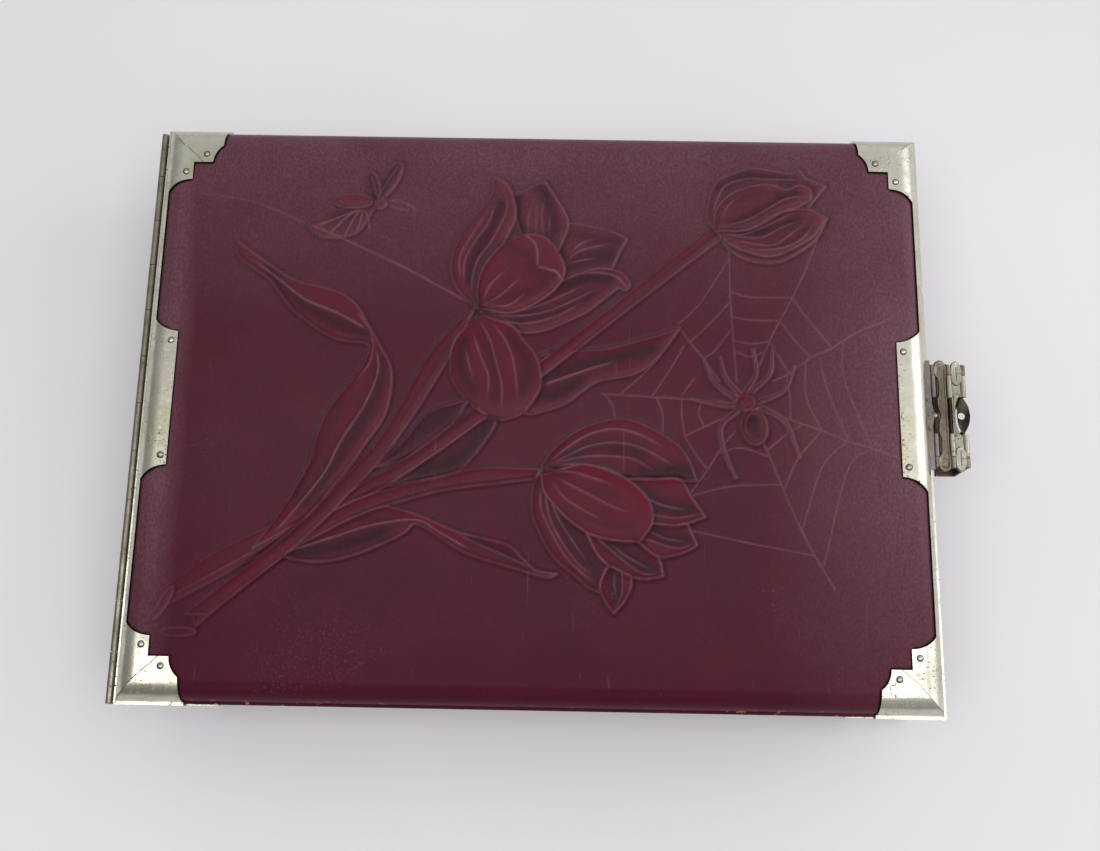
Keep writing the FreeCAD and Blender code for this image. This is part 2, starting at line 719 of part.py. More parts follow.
for label, across in (("clasp_pin_first", first_x), ("clasp_pin_second", second_x),
                      ("clasp_pin_third", third_x)):
    long_pin = rod(label + "_shaft", size["clasp_pin"],
                   (across, -size["outer_knuckle_to"] - 0.2, clasp_z),
                   size["outer_knuckle_to"] * 2 + 0.4, "y")
    if label == "clasp_pin_third":
        gap = block("third_pin_gap", (across - 2, -size["inner_knuckle_from"] - 0.4, clasp_z - 2),
                    (across + 2, size["inner_knuckle_from"] + 0.4, clasp_z + 2))
        long_pin = cut(label, long_pin, gap)
    node(long_pin, label)

knob = doc.addObject("Part::Sphere", "clasp_knob_ball")
bind(knob, "Radius", 1.3)
place(knob, (first_x, 0, clasp_z))
node(cut("clasp_knob_bored", knob, clasp_bore("knob_bore", first_x)), "clasp_knob")

# keeper on the fore-edge wall: a plate with a raised bar that the hasp's foot passes under
KEEPER_HALF = 9.0
keeper = [
    block("keeper_plate", (skin_right, -KEEPER_HALF, 10), (skin_right + 0.8, KEEPER_HALF, 25)),
    block("keeper_bar", (skin_right + 2.6, -6, 18.6), (skin_right + 3.6, 6, 20.4)),
    *paired_blocks("keeper_lug", skin_right + 0.7, skin_right + 3.6, 4.6, 6, 18.6, 20.4),
]
node(fuse("keeper", keeper), "keeper")
node(fuse("keeper_pins", [
    rod(f"keeper_pin_{number}", 0.9, (skin_right - 4, along, 13.5), 5.3, "x")
    for number, along in enumerate((-6.5, 6.5))]), "keeper_pins")

# ---------------------------------------------------------------- check and write

doc.recompute()
for item in doc.Objects:
    if "Invalid" in item.State or "Error" in item.State:
        raise RuntimeError(f"{item.Name} failed: {item.State}")
for item in nodes:
    if item.Shape.isNull() or not item.Shape.isValid() or item.Shape.Volume < 0.01:
        raise RuntimeError(f"{item.Label} has no valid solid")
os.makedirs("parts", exist_ok=True)
for item in nodes:
    item.Shape.exportStep(os.path.join("parts", item.Label + ".step"))
    box = item.Shape.BoundBox
    print(f"{item.Label:22s} solids {len(item.Shape.Solids):2d}  volume {item.Shape.Volume:10.1f}  "
          f"x {box.XMin:7.1f} {box.XMax:7.1f}  y {box.YMin:7.1f} {box.YMax:7.1f}  "
          f"z {box.ZMin:5.1f} {box.ZMax:5.1f}")
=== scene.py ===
"""A leather jewellery case, closed, seen from above: its looks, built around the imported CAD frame.

The lid is padded and tooled with tulips, a web and a bee. Everything is in millimetres until it
becomes a mesh, in the part's frame: X to the clasp, Y to the back, Z up.
"""

import math

import bpy
import numpy as np
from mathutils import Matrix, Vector
from mathutils.bvhtree import BVHTree


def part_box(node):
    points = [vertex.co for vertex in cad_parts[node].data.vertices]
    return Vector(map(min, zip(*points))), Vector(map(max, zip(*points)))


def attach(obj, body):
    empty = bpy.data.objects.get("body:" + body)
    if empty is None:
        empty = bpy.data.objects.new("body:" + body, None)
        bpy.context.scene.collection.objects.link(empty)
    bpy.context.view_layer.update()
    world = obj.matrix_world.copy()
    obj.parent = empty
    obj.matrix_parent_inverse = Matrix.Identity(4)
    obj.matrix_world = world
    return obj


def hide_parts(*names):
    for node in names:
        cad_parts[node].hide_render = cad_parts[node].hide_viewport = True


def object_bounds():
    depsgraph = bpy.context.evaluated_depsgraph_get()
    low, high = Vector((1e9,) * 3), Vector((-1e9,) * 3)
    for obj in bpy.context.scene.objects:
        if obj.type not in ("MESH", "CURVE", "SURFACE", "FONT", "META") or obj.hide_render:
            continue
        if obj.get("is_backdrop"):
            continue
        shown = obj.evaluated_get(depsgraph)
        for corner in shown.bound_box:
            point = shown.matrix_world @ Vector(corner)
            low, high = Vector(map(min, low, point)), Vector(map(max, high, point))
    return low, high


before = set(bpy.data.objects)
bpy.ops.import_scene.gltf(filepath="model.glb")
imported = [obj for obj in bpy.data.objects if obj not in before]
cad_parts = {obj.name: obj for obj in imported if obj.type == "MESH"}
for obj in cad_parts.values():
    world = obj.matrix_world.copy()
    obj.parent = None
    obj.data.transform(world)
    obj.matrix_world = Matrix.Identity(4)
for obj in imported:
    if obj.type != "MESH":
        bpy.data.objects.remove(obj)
CAD_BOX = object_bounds()
MM = 0.001

# ---------------------------------------------------------------- camera, lights and floor

CAMERA_PLACE = (9.6, -107.6, 475.3)
CAMERA_TURN = (13.33, 0.29, 1.06)
CAMERA_LENS = 39.1


def set_camera():
    camera = bpy.data.objects.new("camera", bpy.data.cameras.new("camera"))
    camera.data.lens = CAMERA_LENS
    camera.data.sensor_width = 36
    camera.data.clip_start = 0.01
    camera.location = Vector(CAMERA_PLACE) * MM
    camera.rotation_euler = [math.radians(a) for a in CAMERA_TURN]
    bpy.context.scene.collection.objects.link(camera)
    bpy.context.scene.camera = camera


def add_light(name, place, target, size, power):
    """A rectangular softbox; place, target and size are in metres."""
    light = bpy.data.lights.new(name, "AREA")
    light.shape = "RECTANGLE"
    light.size, light.size_y = size
    light.energy = power
    lamp = bpy.data.objects.new(name, light)
    lamp.location = place
    lamp.rotation_euler = (Vector(target) - Vector(place)).to_track_quat("-Z", "Y").to_euler()
    bpy.context.scene.collection.objects.link(lamp)


def set_lights():
    """A soft room, brighter to the right and back, under one broad softbox just behind the camera."""
    world = bpy.data.worlds.new("studio")
    bpy.context.scene.world = world
    world.use_nodes = True
    tree = world.node_tree
    direction = tree.nodes.new("ShaderNodeTexCoord").outputs["Generated"]
    toward = tree.nodes.new("ShaderNodeVectorMath")
    toward.operation = "DOT_PRODUCT"
    toward.inputs[1].default_value = (0.75, 0.60, 0.30)
    glow = tree.nodes.new("ShaderNodeMapRange")
    for name, value in (("From Min", -0.9), ("From Max", 0.9), ("To Min", 0.16), ("To Max", 0.86)):
        glow.inputs[name].default_value = value
    tree.links.new(direction, toward.inputs[0])
    tree.links.new(toward.outputs["Value"], glow.inputs["Value"])
    tree.links.new(glow.outputs["Result"], tree.nodes["Background"].inputs["Strength"])
    tree.nodes["Background"].inputs["Color"].default_value = (0.98, 0.98, 1, 1)
    add_light("softbox_above", (0, -0.32, 1.5), (0, -0.1, 0), (2.0, 0.95), 14)
    add_light("window_right", (1.2, 0.25, 0.6), (0, 0, 0.03), (0.7, 1.0), 4)
    bpy.context.scene.view_settings.view_transform = "Standard"


# ---------------------------------------------------------------- material helper


class Paint:
    """One procedural material. Each call adds a node and gives its output, for the next call."""

    def __init__(self, name):
        self.material = bpy.data.materials.new(name)
        self.material.use_nodes = True
        self.tree = self.material.node_tree
        self.surface = self.tree.nodes["Principled BSDF"]
        place = self.add("ShaderNodeTexCoord").outputs["Object"]
        scaled = self.add("ShaderNodeVectorMath", {0: place, "Scale": 1 / MM}, operation="SCALE")
        self.place = scaled.outputs[0]

    def wire(self, socket, value):
        if isinstance(value, bpy.types.NodeSocket):
            self.tree.links.new(value, socket)
        elif hasattr(socket.default_value, "__len__") and len(socket.default_value) == 4:
            socket.default_value = (*value, 1)
        else:
            socket.default_value = value

    def add(self, kind, inputs=None, **settings):
        node = self.tree.nodes.new(kind)
        for name, value in settings.items():
            setattr(node, name, value)
        for key, value in (inputs or {}).items():
            self.wire(node.inputs[key], value)
        return node

    def stretched(self, stretch):
        """The place in mm, drawn out: a stretch of 9 makes marks nine times as long that way."""
        shrink = [1 / s for s in stretch]
        return self.add("ShaderNodeVectorMath", {0: self.place, 1: shrink}, operation="MULTIPLY").outputs[0]

    def noise(self, size, detail=3.0, rough=0.5, stretch=(1, 1, 1)):
        inputs = {"Vector": self.stretched(stretch), "Scale": 1 / size, "Detail": detail,
                  "Roughness": rough}
        return self.add("ShaderNodeTexNoise", inputs).outputs["Fac"]

    def cells(self, size, feature="F1"):
        inputs = {"Vector": self.place, "Scale": 1 / size}
        return self.add("ShaderNodeTexVoronoi", inputs, feature=feature).outputs["Distance"]

    def ramp(self, value, low, high, to_low=0.0, to_high=1.0):
        inputs = {"Value": value, "From Min": low, "From Max": high, "To Min": to_low, "To Max": to_high}
        return self.add("ShaderNodeMapRange", inputs).outputs["Result"]

    def maths(self, operation, a, b=0.0):
        return self.add("ShaderNodeMath", {0: a, 1: b}, operation=operation).outputs[0]

    def times(self, a, b):
        return self.maths("MULTIPLY", a, b)

    def axis(self, name):
        return self.add("ShaderNodeSeparateXYZ", {0: self.place}).outputs[name]

    def mix(self, factor, a, b):
        """Colour a where factor is 0, b where it is 1."""
        node = self.add("ShaderNodeMix", {0: factor, 6: a, 7: b}, data_type="RGBA")
        return node.outputs[2]

    def attribute(self, name):
        node = self.add("ShaderNodeAttribute", attribute_name=name)
        return self.add("ShaderNodeSeparateColor", {0: node.outputs["Color"]}).outputs

    def attribute_alpha(self, name):
        return self.add("ShaderNodeAttribute", attribute_name=name).outputs["Alpha"]

    def bump(self, height, depth, normal=None):
        """A bump of that many mm from a height of 0 to 1."""
        inputs = {"Height": height, "Distance": depth * MM}
        if normal is not None:
            inputs["Normal"] = normal
        return self.add("ShaderNodeBump", inputs).outputs["Normal"]

    def finish(self, **surface):
        for name, value in surface.items():
            self.wire(self.surface.inputs[name.replace("_", " ")], value)
        return self.material


# ---------------------------------------------------------------- materials

BURGUNDY = (0.070, 0.0042, 0.0150)
BURGUNDY_BROWN = (0.056, 0.0055, 0.0170)
PETAL_RED = (0.094, 0.0036, 0.0125)
# dark of the grain's speckle, and of the picture's painted shade
SHADE_AND_GRAIN_DARK = (0.015, 0.0035, 0.0085)
# the tooled lines' burnished tone with a painted highlight
LINE_TONE_AND_HIGHLIGHT = (0.215, 0.0900, 0.1100)
# grey of bloom on the leather, and on the lid also of a painted sheen
RUBBED_GREY_AND_SHEEN = (0.130, 0.0570, 0.0735)
# near black: painted shade in the seam where the leather meets the metal
SEAM_SHADE = (0.006, 0.003, 0.003)


def leather(name, tooled=False):
    """Polished calf: fine grain, uneven dye, dull scuffs, and on the lid the tooled picture's tones with
    their painted shade and highlights, and a painted sheen along its edges.
    """
    p = Paint(name)
    mottle = p.ramp(p.noise(38, 4, 0.6), 0.35, 0.68)
    colour = p.mix(mottle, BURGUNDY, BURGUNDY_BROWN)
    # dark speckle of the grain
    colour = p.mix(p.ramp(p.noise(0.7, 3, 0.7), 0.3, 0.75, 0.0, 0.35), colour, SHADE_AND_GRAIN_DARK)
    rough = p.ramp(mottle, 0, 1, 0.40, 0.48)
    grey = p.ramp(p.noise(24, 4, 0.6), 0.2, 0.8, 0.0, 0.12)
    gloss = 0.17
    if tooled:
        tone = p.attribute("tone")
        patchy = p.ramp(p.noise(7, 3, 0.6), 0.3, 0.7, 0.45, 1.0)
        colour = p.mix(p.times(tone["Green"], patchy), colour, PETAL_RED)
        brushed = p.ramp(p.noise(2.2, 4, 0.7, (1, 7, 1)), 0.3, 0.7, 0.75, 1.0)
        # painted shade from the picture's dark channel, made patchy
        colour = p.mix(p.times(tone["Blue"], brushed), colour, SHADE_AND_GRAIN_DARK)
        grey = lid_grey(p, grey, tone)
        gloss = p.ramp(p.axis("Y"), -100, -10, 0.07, 0.17)
    bloom = p.ramp(p.noise(0.7, 3, 0.75, (1, 1.8, 1)), 0.42, 0.64, 0.55, 1.10)
    # mixes in the grey: random bloom, and on the lid a painted sheen at the edges
    colour = p.mix(p.times(grey, bloom), colour, RUBBED_GREY_AND_SHEEN)
    if tooled:
        # the tooled lines: burnished tone with a painted highlight
        colour = p.mix(p.times(tone["Red"], patchy), colour, LINE_TONE_AND_HIGHLIGHT)
    colour = worn(p, colour)
    if tooled:
        # painted shade in the seam along the metal, from the tone's alpha
        colour = p.mix(p.attribute_alpha("tone"), SEAM_SHADE, colour)
    grain = p.maths("ADD", p.cells(0.55, "SMOOTH_F1"), p.noise(0.22, 2))
    normal = p.bump(p.noise(4.5, 3), 0.05, p.bump(grain, 0.045))
    return p.finish(Base_Color=colour, Roughness=rough, Normal=normal, Specular_IOR_Level=gloss,
                    Sheen_Weight=0.03, Sheen_Roughness=0.45, Sheen_Tint=(0.9, 0.75, 0.85))


def lid_grey(p, grey, tone):
    """The lid's greying: random grey patches, and a painted sheen strongest at the edges; weaker near the
    front and on the tooled forms.
    """
    # painted sheen: grey along the edges, where the shoulders catch the light, broken up by noise
    rubbed_and_sheen = p.times(edge_sheen(p), p.ramp(p.noise(30, 4, 0.6), 0.25, 0.7, 0.60, 1.0))
    grey = p.maths("MAXIMUM", grey, rubbed_and_sheen)
    # the grey and the painted sheen fade towards the front
    grey = p.times(grey, p.ramp(p.axis("Y"), -100, -25, 0.45, 1.0))
    grey = p.times(grey, p.ramp(tone["Blue"], 0, 1, 1.0, 0.25))
    return p.times(grey, p.ramp(tone["Green"], 0, 1, 1.0, 0.55))


def worn(p, colour):
    """The leather's damage: scuffs, chips, a chipped front edge, a back edge made lighter for wear and a
    painted highlight on the lip, and scratches.
    """
    scuff = p.times(p.ramp(p.noise(55, 3), 0.56, 0.70), p.ramp(p.noise(1.1, 5, 0.75), 0.55, 0.66))
    colour = p.mix(p.times(scuff, 0.25), colour, (0.22, 0.105, 0.095))
    chip = p.ramp(p.noise(5.5, 4, 0.7), 0.74, 0.77)
    colour = p.mix(p.times(chip, 0.5), colour, (0.20, 0.05, 0.03))
    front_edge = p.ramp(p.axis("Y"), -106.5, -107.8)
    front_chips = p.times(front_edge, p.ramp(p.noise(4, 4, 0.6), 0.60, 0.64))
    colour = p.mix(front_chips, colour, (0.42, 0.14, 0.08))
    # the back edge: lighter, partly wear and partly a painted highlight along the lip
    back_edge = p.ramp(p.axis("Y"), 106.8, 108.2, 0.0, 0.75)
    colour = p.mix(back_edge, colour, (0.27, 0.22, 0.235))
    scratch = p.ramp(p.noise(1.5, 2, 0.6, (1, 30, 1)), 0.70, 0.76)
    return p.mix(p.times(scratch, 0.12), colour, (0.26, 0.16, 0.17))


def edge_sheen(p):
    """Where the lid gets a painted grey sheen: most along its right, back and left edges."""
    right = p.ramp(p.axis("X"), 78, 134, 0.0, 1.1)
    left = p.ramp(p.axis("X"), -124, -133, 0.0, 1.0)
    back = p.ramp(p.axis("Y"), 20, 104, 0.0, 0.9)
    return p.maths("MAXIMUM", p.maths("MAXIMUM", right, left), back)


MOUNT_HALF_LENGTH = 145.0
MOUNT_HALF_WIDTH = 109.0


def mitre(p):
    """Two masks for the corner mounts' painted shade: the folded seam on the diagonal, and the flap on its
    Y side.
    """
    from_end = p.maths("SUBTRACT", MOUNT_HALF_LENGTH, p.maths("ABSOLUTE", p.axis("X")))
    from_side = p.maths("SUBTRACT", MOUNT_HALF_WIDTH, p.maths("ABSOLUTE", p.axis("Y")))
    wavy = p.ramp(p.noise(6, 2), 0, 1, -1.2, 1.2)
    across = p.maths("ADD", p.maths("SUBTRACT", from_end, from_side), wavy)
    seam = p.ramp(p.maths("ABSOLUTE", across), 0.05, 0.42, 1.0, 0.0)
    flap = p.ramp(across, -0.1, 0.3)
    return seam, flap


def aged_metal(name, bright, dull, tarnish, pits, rough, folded):
    """Stamped nickel silver: worn plating, brown pits, tarnish in patches, fine handling scratches."""
    p = Paint(name)
    wear = p.ramp(p.noise(9, 5, 0.65), 0.34, 0.66)
    colour = p.mix(wear, bright, dull)
    patch = p.times(p.ramp(p.noise(16, 3), 0.48, 0.66), p.ramp(p.noise(1.6, 4, 0.7), 0.36, 0.60))
    colour = p.mix(p.times(patch, 0.6), colour, tarnish)
    crowd = p.ramp(p.noise(13, 3), 0.44, 0.60)
    pit = p.times(p.ramp(p.noise(1.0, 3, 0.6), 0.615, 0.655), p.times(crowd, pits))
    colour = p.mix(pit, colour, (0.035, 0.030, 0.022))
    scratches = p.maths("ADD", p.noise(0.5, 2, 0.6, (1, 22, 1)), p.noise(0.5, 2, 0.6, (18, 1, 1)))
    dents = p.bump(p.noise(7.5, 2), 0.16)
    if folded:
        seam, flap = mitre(p)
        # painted shade: the flap darker, as a face turned from the light, and the fold line darker, as
        # shade in the crease
        colour = p.mix(p.times(flap, 0.30), colour, dull)
        colour = p.mix(p.times(seam, 0.55), colour, (0.12, 0.11, 0.08))
        dents = p.bump(flap, 0.10, dents)
    normal = p.bump(scratches, 0.010, p.bump(pit, -0.08, dents))
    shine = p.maths("ADD", p.ramp(wear, 0, 1, rough - 0.06, rough + 0.12), p.times(pit, 0.4))
    return p.finish(Base_Color=colour, Metallic=p.ramp(pit, 0, 1, 1.0, 0.3), Roughness=shine, Normal=normal)


def velvet():
    """Short cotton pile: dark from above, bright at a glance, brushed in uneven directions."""
    p = Paint("crimson_velvet")
    brushed = p.ramp(p.noise(14, 4, 0.6), 0.35, 0.65)
    colour = p.mix(brushed, (0.20, 0.008, 0.022), (0.125, 0.005, 0.014))
    pile = p.noise(0.35, 3, 0.7)
    colour = p.mix(p.ramp(pile, 0.35, 0.7, 0.0, 0.5), colour, (0.07, 0.003, 0.008))
    rubbed_and_sheen = p.times(p.ramp(p.noise(30, 3), 0.60, 0.72), 0.35)
    colour = p.mix(rubbed_and_sheen, colour, (0.33, 0.04, 0.06))
    normal = p.bump(pile, 0.16, p.bump(brushed, 0.15))
    return p.finish(Base_Color=colour, Roughness=0.95, Normal=normal, Specular_IOR_Level=0.1,
                    Sheen_Weight=1.0, Sheen_Roughness=0.30, Sheen_Tint=(1.0, 0.42, 0.50))


def satin():
    """Silk satin: long floats one way, so it shines in streaks, yellowed where it has aged."""
    p = Paint("old_gold_satin")
    aged = p.ramp(p.noise(45, 4, 0.6), 0.38, 0.66)
    colour = p.mix(aged, (0.56, 0.39, 0.22), (0.43, 0.27, 0.13))
    streak = p.noise(0.6, 3, 0.6, (40, 1, 1))
    colour = p.mix(p.ramp(streak, 0.35, 0.7, 0.0, 0.25), colour, (0.70, 0.54, 0.34))
    weave = p.maths("ADD", p.noise(0.16, 1, 0.5, (6, 1, 1)), p.times(streak, 0.6))
    return p.finish(Base_Color=colour, Roughness=p.ramp(streak, 0.3, 0.7, 0.30, 0.44),
                    Normal=p.bump(weave, 0.03), Sheen_Weight=0.35, Sheen_Tint=(1, 0.9, 0.7),
                    Anisotropic=0.5, Specular_IOR_Level=0.55)


def millboard():
    """Grey-brown board: long fibres and flecks."""
    p = Paint("millboard")
    fibre = p.noise(0.8, 5, 0.7, (7, 1, 1))
    tone = p.mix(p.ramp(fibre, 0.35, 0.68), (0.36, 0.25, 0.15), (0.23, 0.15, 0.085))
    fleck = p.ramp(p.cells(1.7), 0.0, 0.16, 1.0, 0.0)
    tone = p.mix(p.times(fleck, 0.35), tone, (0.10, 0.06, 0.035))
    return p.finish(Base_Color=tone, Roughness=0.85, Normal=p.bump(fibre, 0.10), Specular_IOR_Level=0.2)


def thin_wood():
    """Planed poplar under the covering: straight grain along each wall."""
    p = Paint("poplar")
    rings = p.noise(2.2, 4, 0.55, (22, 22, 1))
    tone = p.mix(p.ramp(rings, 0.35, 0.65), (0.42, 0.27, 0.14), (0.28, 0.16, 0.075))
    return p.finish(Base_Color=tone, Roughness=0.6, Normal=p.bump(rings, 0.06))


def paper():
    """The pale seamless sheet that the case was photographed on."""
    p = Paint("studio_paper")
    tone = p.mix(p.ramp(p.noise(260, 3), 0.3, 0.7), (0.735, 0.725, 0.738), (0.690, 0.682, 0.695))
    return p.finish(Base_Color=tone, Roughness=0.75, Normal=p.bump(p.noise(1.3, 3), 0.02),
                    Specular_IOR_Level=0.2)


# ---------------------------------------------------------------- mesh helpers


def make_mesh(name, points, faces, material):
    """A smooth-shaded object from points in mm and quads, given as whole arrays."""
    mesh = bpy.data.meshes.new(name)
    faces = np.asarray(faces, np.int32)
    mesh.vertices.add(len(points))
    mesh.vertices.foreach_set("co", (np.asarray(points, float) * MM).ravel())
    mesh.loops.add(faces.size)
    mesh.loops.foreach_set("vertex_index", faces.ravel())
    mesh.polygons.add(len(faces))
    mesh.polygons.foreach_set("loop_start", np.arange(0, faces.size, faces.shape[1]))
    mesh.update(calc_edges=True)
    mesh.validate()
    mesh.shade_smooth()
    mesh.materials.append(material)
    obj = bpy.data.objects.new(name, mesh)
    bpy.context.scene.collection.objects.link(obj)
    return obj


def points_of(mesh):
    """A mesh's points in mm."""
    flat = np.zeros(len(mesh.vertices) * 3)
    mesh.vertices.foreach_get("co", flat)
    return flat.reshape(-1, 3) / MM


def quads(rows, cols, start=0):
    """The faces of a grid of points counted row by row, facing up when rows go back and cols right."""
    corner = start + (np.arange(rows - 1)[:, None] * cols + np.arange(cols - 1)).ravel()
    return np.stack([corner, corner + 1, corner + cols + 1, corner + cols], 1)


def rim_of(rows, cols):
    """The border of a grid of points, once round, anticlockwise from above."""
    index = np.arange(rows * cols).reshape(rows, cols)
    return np.concatenate([index[0, :-1], index[:-1, -1], index[-1, :0:-1], index[:0:-1, 0]])


def strip(loop_a, loop_b):
    """Faces between two closed loops of the same length, b outside and below a."""
    return np.stack([loop_a, loop_b, np.roll(loop_b, -1), np.roll(loop_a, -1)], 1)


def pillow(low, high, spacing, pull):
    """A closed pad of grid cells: flat above and below, its edges pulled in by pull mm.

    Gives the points, the faces, and which points are the top's inside, free to swell.
    """
    cols, rows = (max(4, int((high[a] - low[a]) / spacing)) for a in (0, 1))
    across, along = (np.linspace(low[a] + pull, high[a] - pull, n) for a, n in ((0, cols), (1, rows)))
    x, y = np.meshgrid(across, along)
    flat = np.stack([x.ravel(), y.ravel(), np.full(x.size, high[2])], 1)
    under = flat * (1, 1, 0) + (0, 0, low[2])
    top_rim = rim_of(rows, cols)
    middle = (np.array(low[:2]) + high[:2]) / 2
    half = (np.array(high[:2]) - low[:2]) / 2
    belt = flat[top_rim].copy()
    belt[:, :2] = middle + (belt[:, :2] - middle) * half / (half - pull)
    belt[:, 2] = (low[2] + high[2]) / 2
    belt_index = 2 * x.size + np.arange(len(belt))
    faces = [quads(rows, cols), quads(rows, cols, x.size)[:, ::-1],
             strip(top_rim, belt_index), strip(belt_index, top_rim + x.size)]
    points = np.vstack([flat, under, belt])
    free = np.zeros(len(points), bool)
    free[: x.size] = True
    free[top_rim] = False
    return points, np.vstack(faces), free


CLOTH_FRAMES = 20


def swell(points, faces, free, cap, pressure=4.0):
    """How far each point moves when Blender's cloth blows the closed form up, at most cap mm."""
    obj = make_mesh("swelling", points, faces, None)
    held = obj.vertex_groups.new(name="held")
    held.add([int(i) for i in np.flatnonzero(~free)], 1.0, "REPLACE")
    cloth = obj.modifiers.new("cloth", "CLOTH")
    cloth.settings.vertex_group_mass = "held"
    cloth.settings.use_pressure = True
    cloth.settings.uniform_pressure_force = pressure
    cloth.settings.effector_weights.gravity = 0
    scene = bpy.context.scene
    for number in range(1, CLOTH_FRAMES + 1):
        scene.frame_set(number)
    moved = points_of(obj.evaluated_get(bpy.context.evaluated_depsgraph_get()).data) - points
    scene.frame_set(1)
    mesh = obj.data
    bpy.data.objects.remove(obj)
    bpy.data.meshes.remove(mesh)
    length = np.linalg.norm(moved, axis=1, keepdims=True)
    return moved * np.minimum(1, cap / np.maximum(length, 1e-6))


def subdivide(obj):
    """One level of subdivision, applied."""
    smoother = obj.modifiers.new("smoother", "SUBSURF")
    smoother.levels = 1
    graph = bpy.context.evaluated_depsgraph_get()
    mesh = bpy.data.meshes.new_from_object(obj.evaluated_get(graph))
    obj.modifiers.clear()
    old, obj.data = obj.data, mesh
    bpy.data.meshes.remove(old)
    mesh.shade_smooth()


def box_mm(node):
    """A CAD node's lowest and highest corners in mm."""
    low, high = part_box(node)
    return np.array(low) / MM, np.array(high) / MM


def ease(value):
    """0 below 0, 1 above 1, and a smooth step between."""
    value = np.clip(value, 0, 1)
    return value * value * (3 - 2 * value)


def settle(obj, body, slot, *nodes):
    """The piece rides on body and stands for the CAD nodes, which are hidden. slot is not used."""
    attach(obj, body)
    if nodes:
        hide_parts(*nodes)


# ---------------------------------------------------------------- tooling the picture

# how far round a form its surroundings are worked, and the widths of its rim, veins and shade, in mm
REACH = 9.0
RIM_WIDTH = 0.34
VEIN_WIDTH = 0.34
SHADE_REACH = 2.6
# how dark the painted shade in the groove round each form is
OUTER_CONTOUR = 0.35


def smooth(points, step=0.8):
    """A curve through the given points, as many short steps."""
    points = np.array(points, float)
    held = np.vstack([2 * points[0] - points[1], points, 2 * points[-1] - points[-2]])
    parts = []
    for a, b, c, d in zip(held, held[1:], held[2:], held[3:]):
        count = max(2, int(np.linalg.norm(c - b) / step))
        t = np.linspace(0, 1, count, endpoint=False)[:, None]
        parts.append(b + (c - a) * t / 2 + (a - 2.5 * b + 2 * c - d / 2) * t**2
                     + (1.5 * (b - c) + (d - a) / 2) * t**3)
    return np.vstack([*parts, points[-1:]])


def spaced(points, count=40):
    """The curve through the points, in count even steps."""
    curve = smooth(points)
    along = np.concatenate([[0], np.cumsum(np.linalg.norm(np.diff(curve, axis=0), axis=1))])
    at = np.linspace(0, along[-1], count)
    return np.stack([np.interp(at, along, curve[:, 0]), np.interp(at, along, curve[:, 1])], 1)


def ellipse(middle, long, wide, turn=0.0):
    """The outline of an ellipse; turn is in degrees."""
    angle = np.radians(np.linspace(0, 360, 25))
    turn = math.radians(turn)
    x, y = long * np.cos(angle), wide * np.sin(angle)
    return np.stack([middle[0] + x * math.cos(turn) - y * math.sin(turn),
                     middle[1] + x * math.sin(turn) + y * math.cos(turn)], 1)


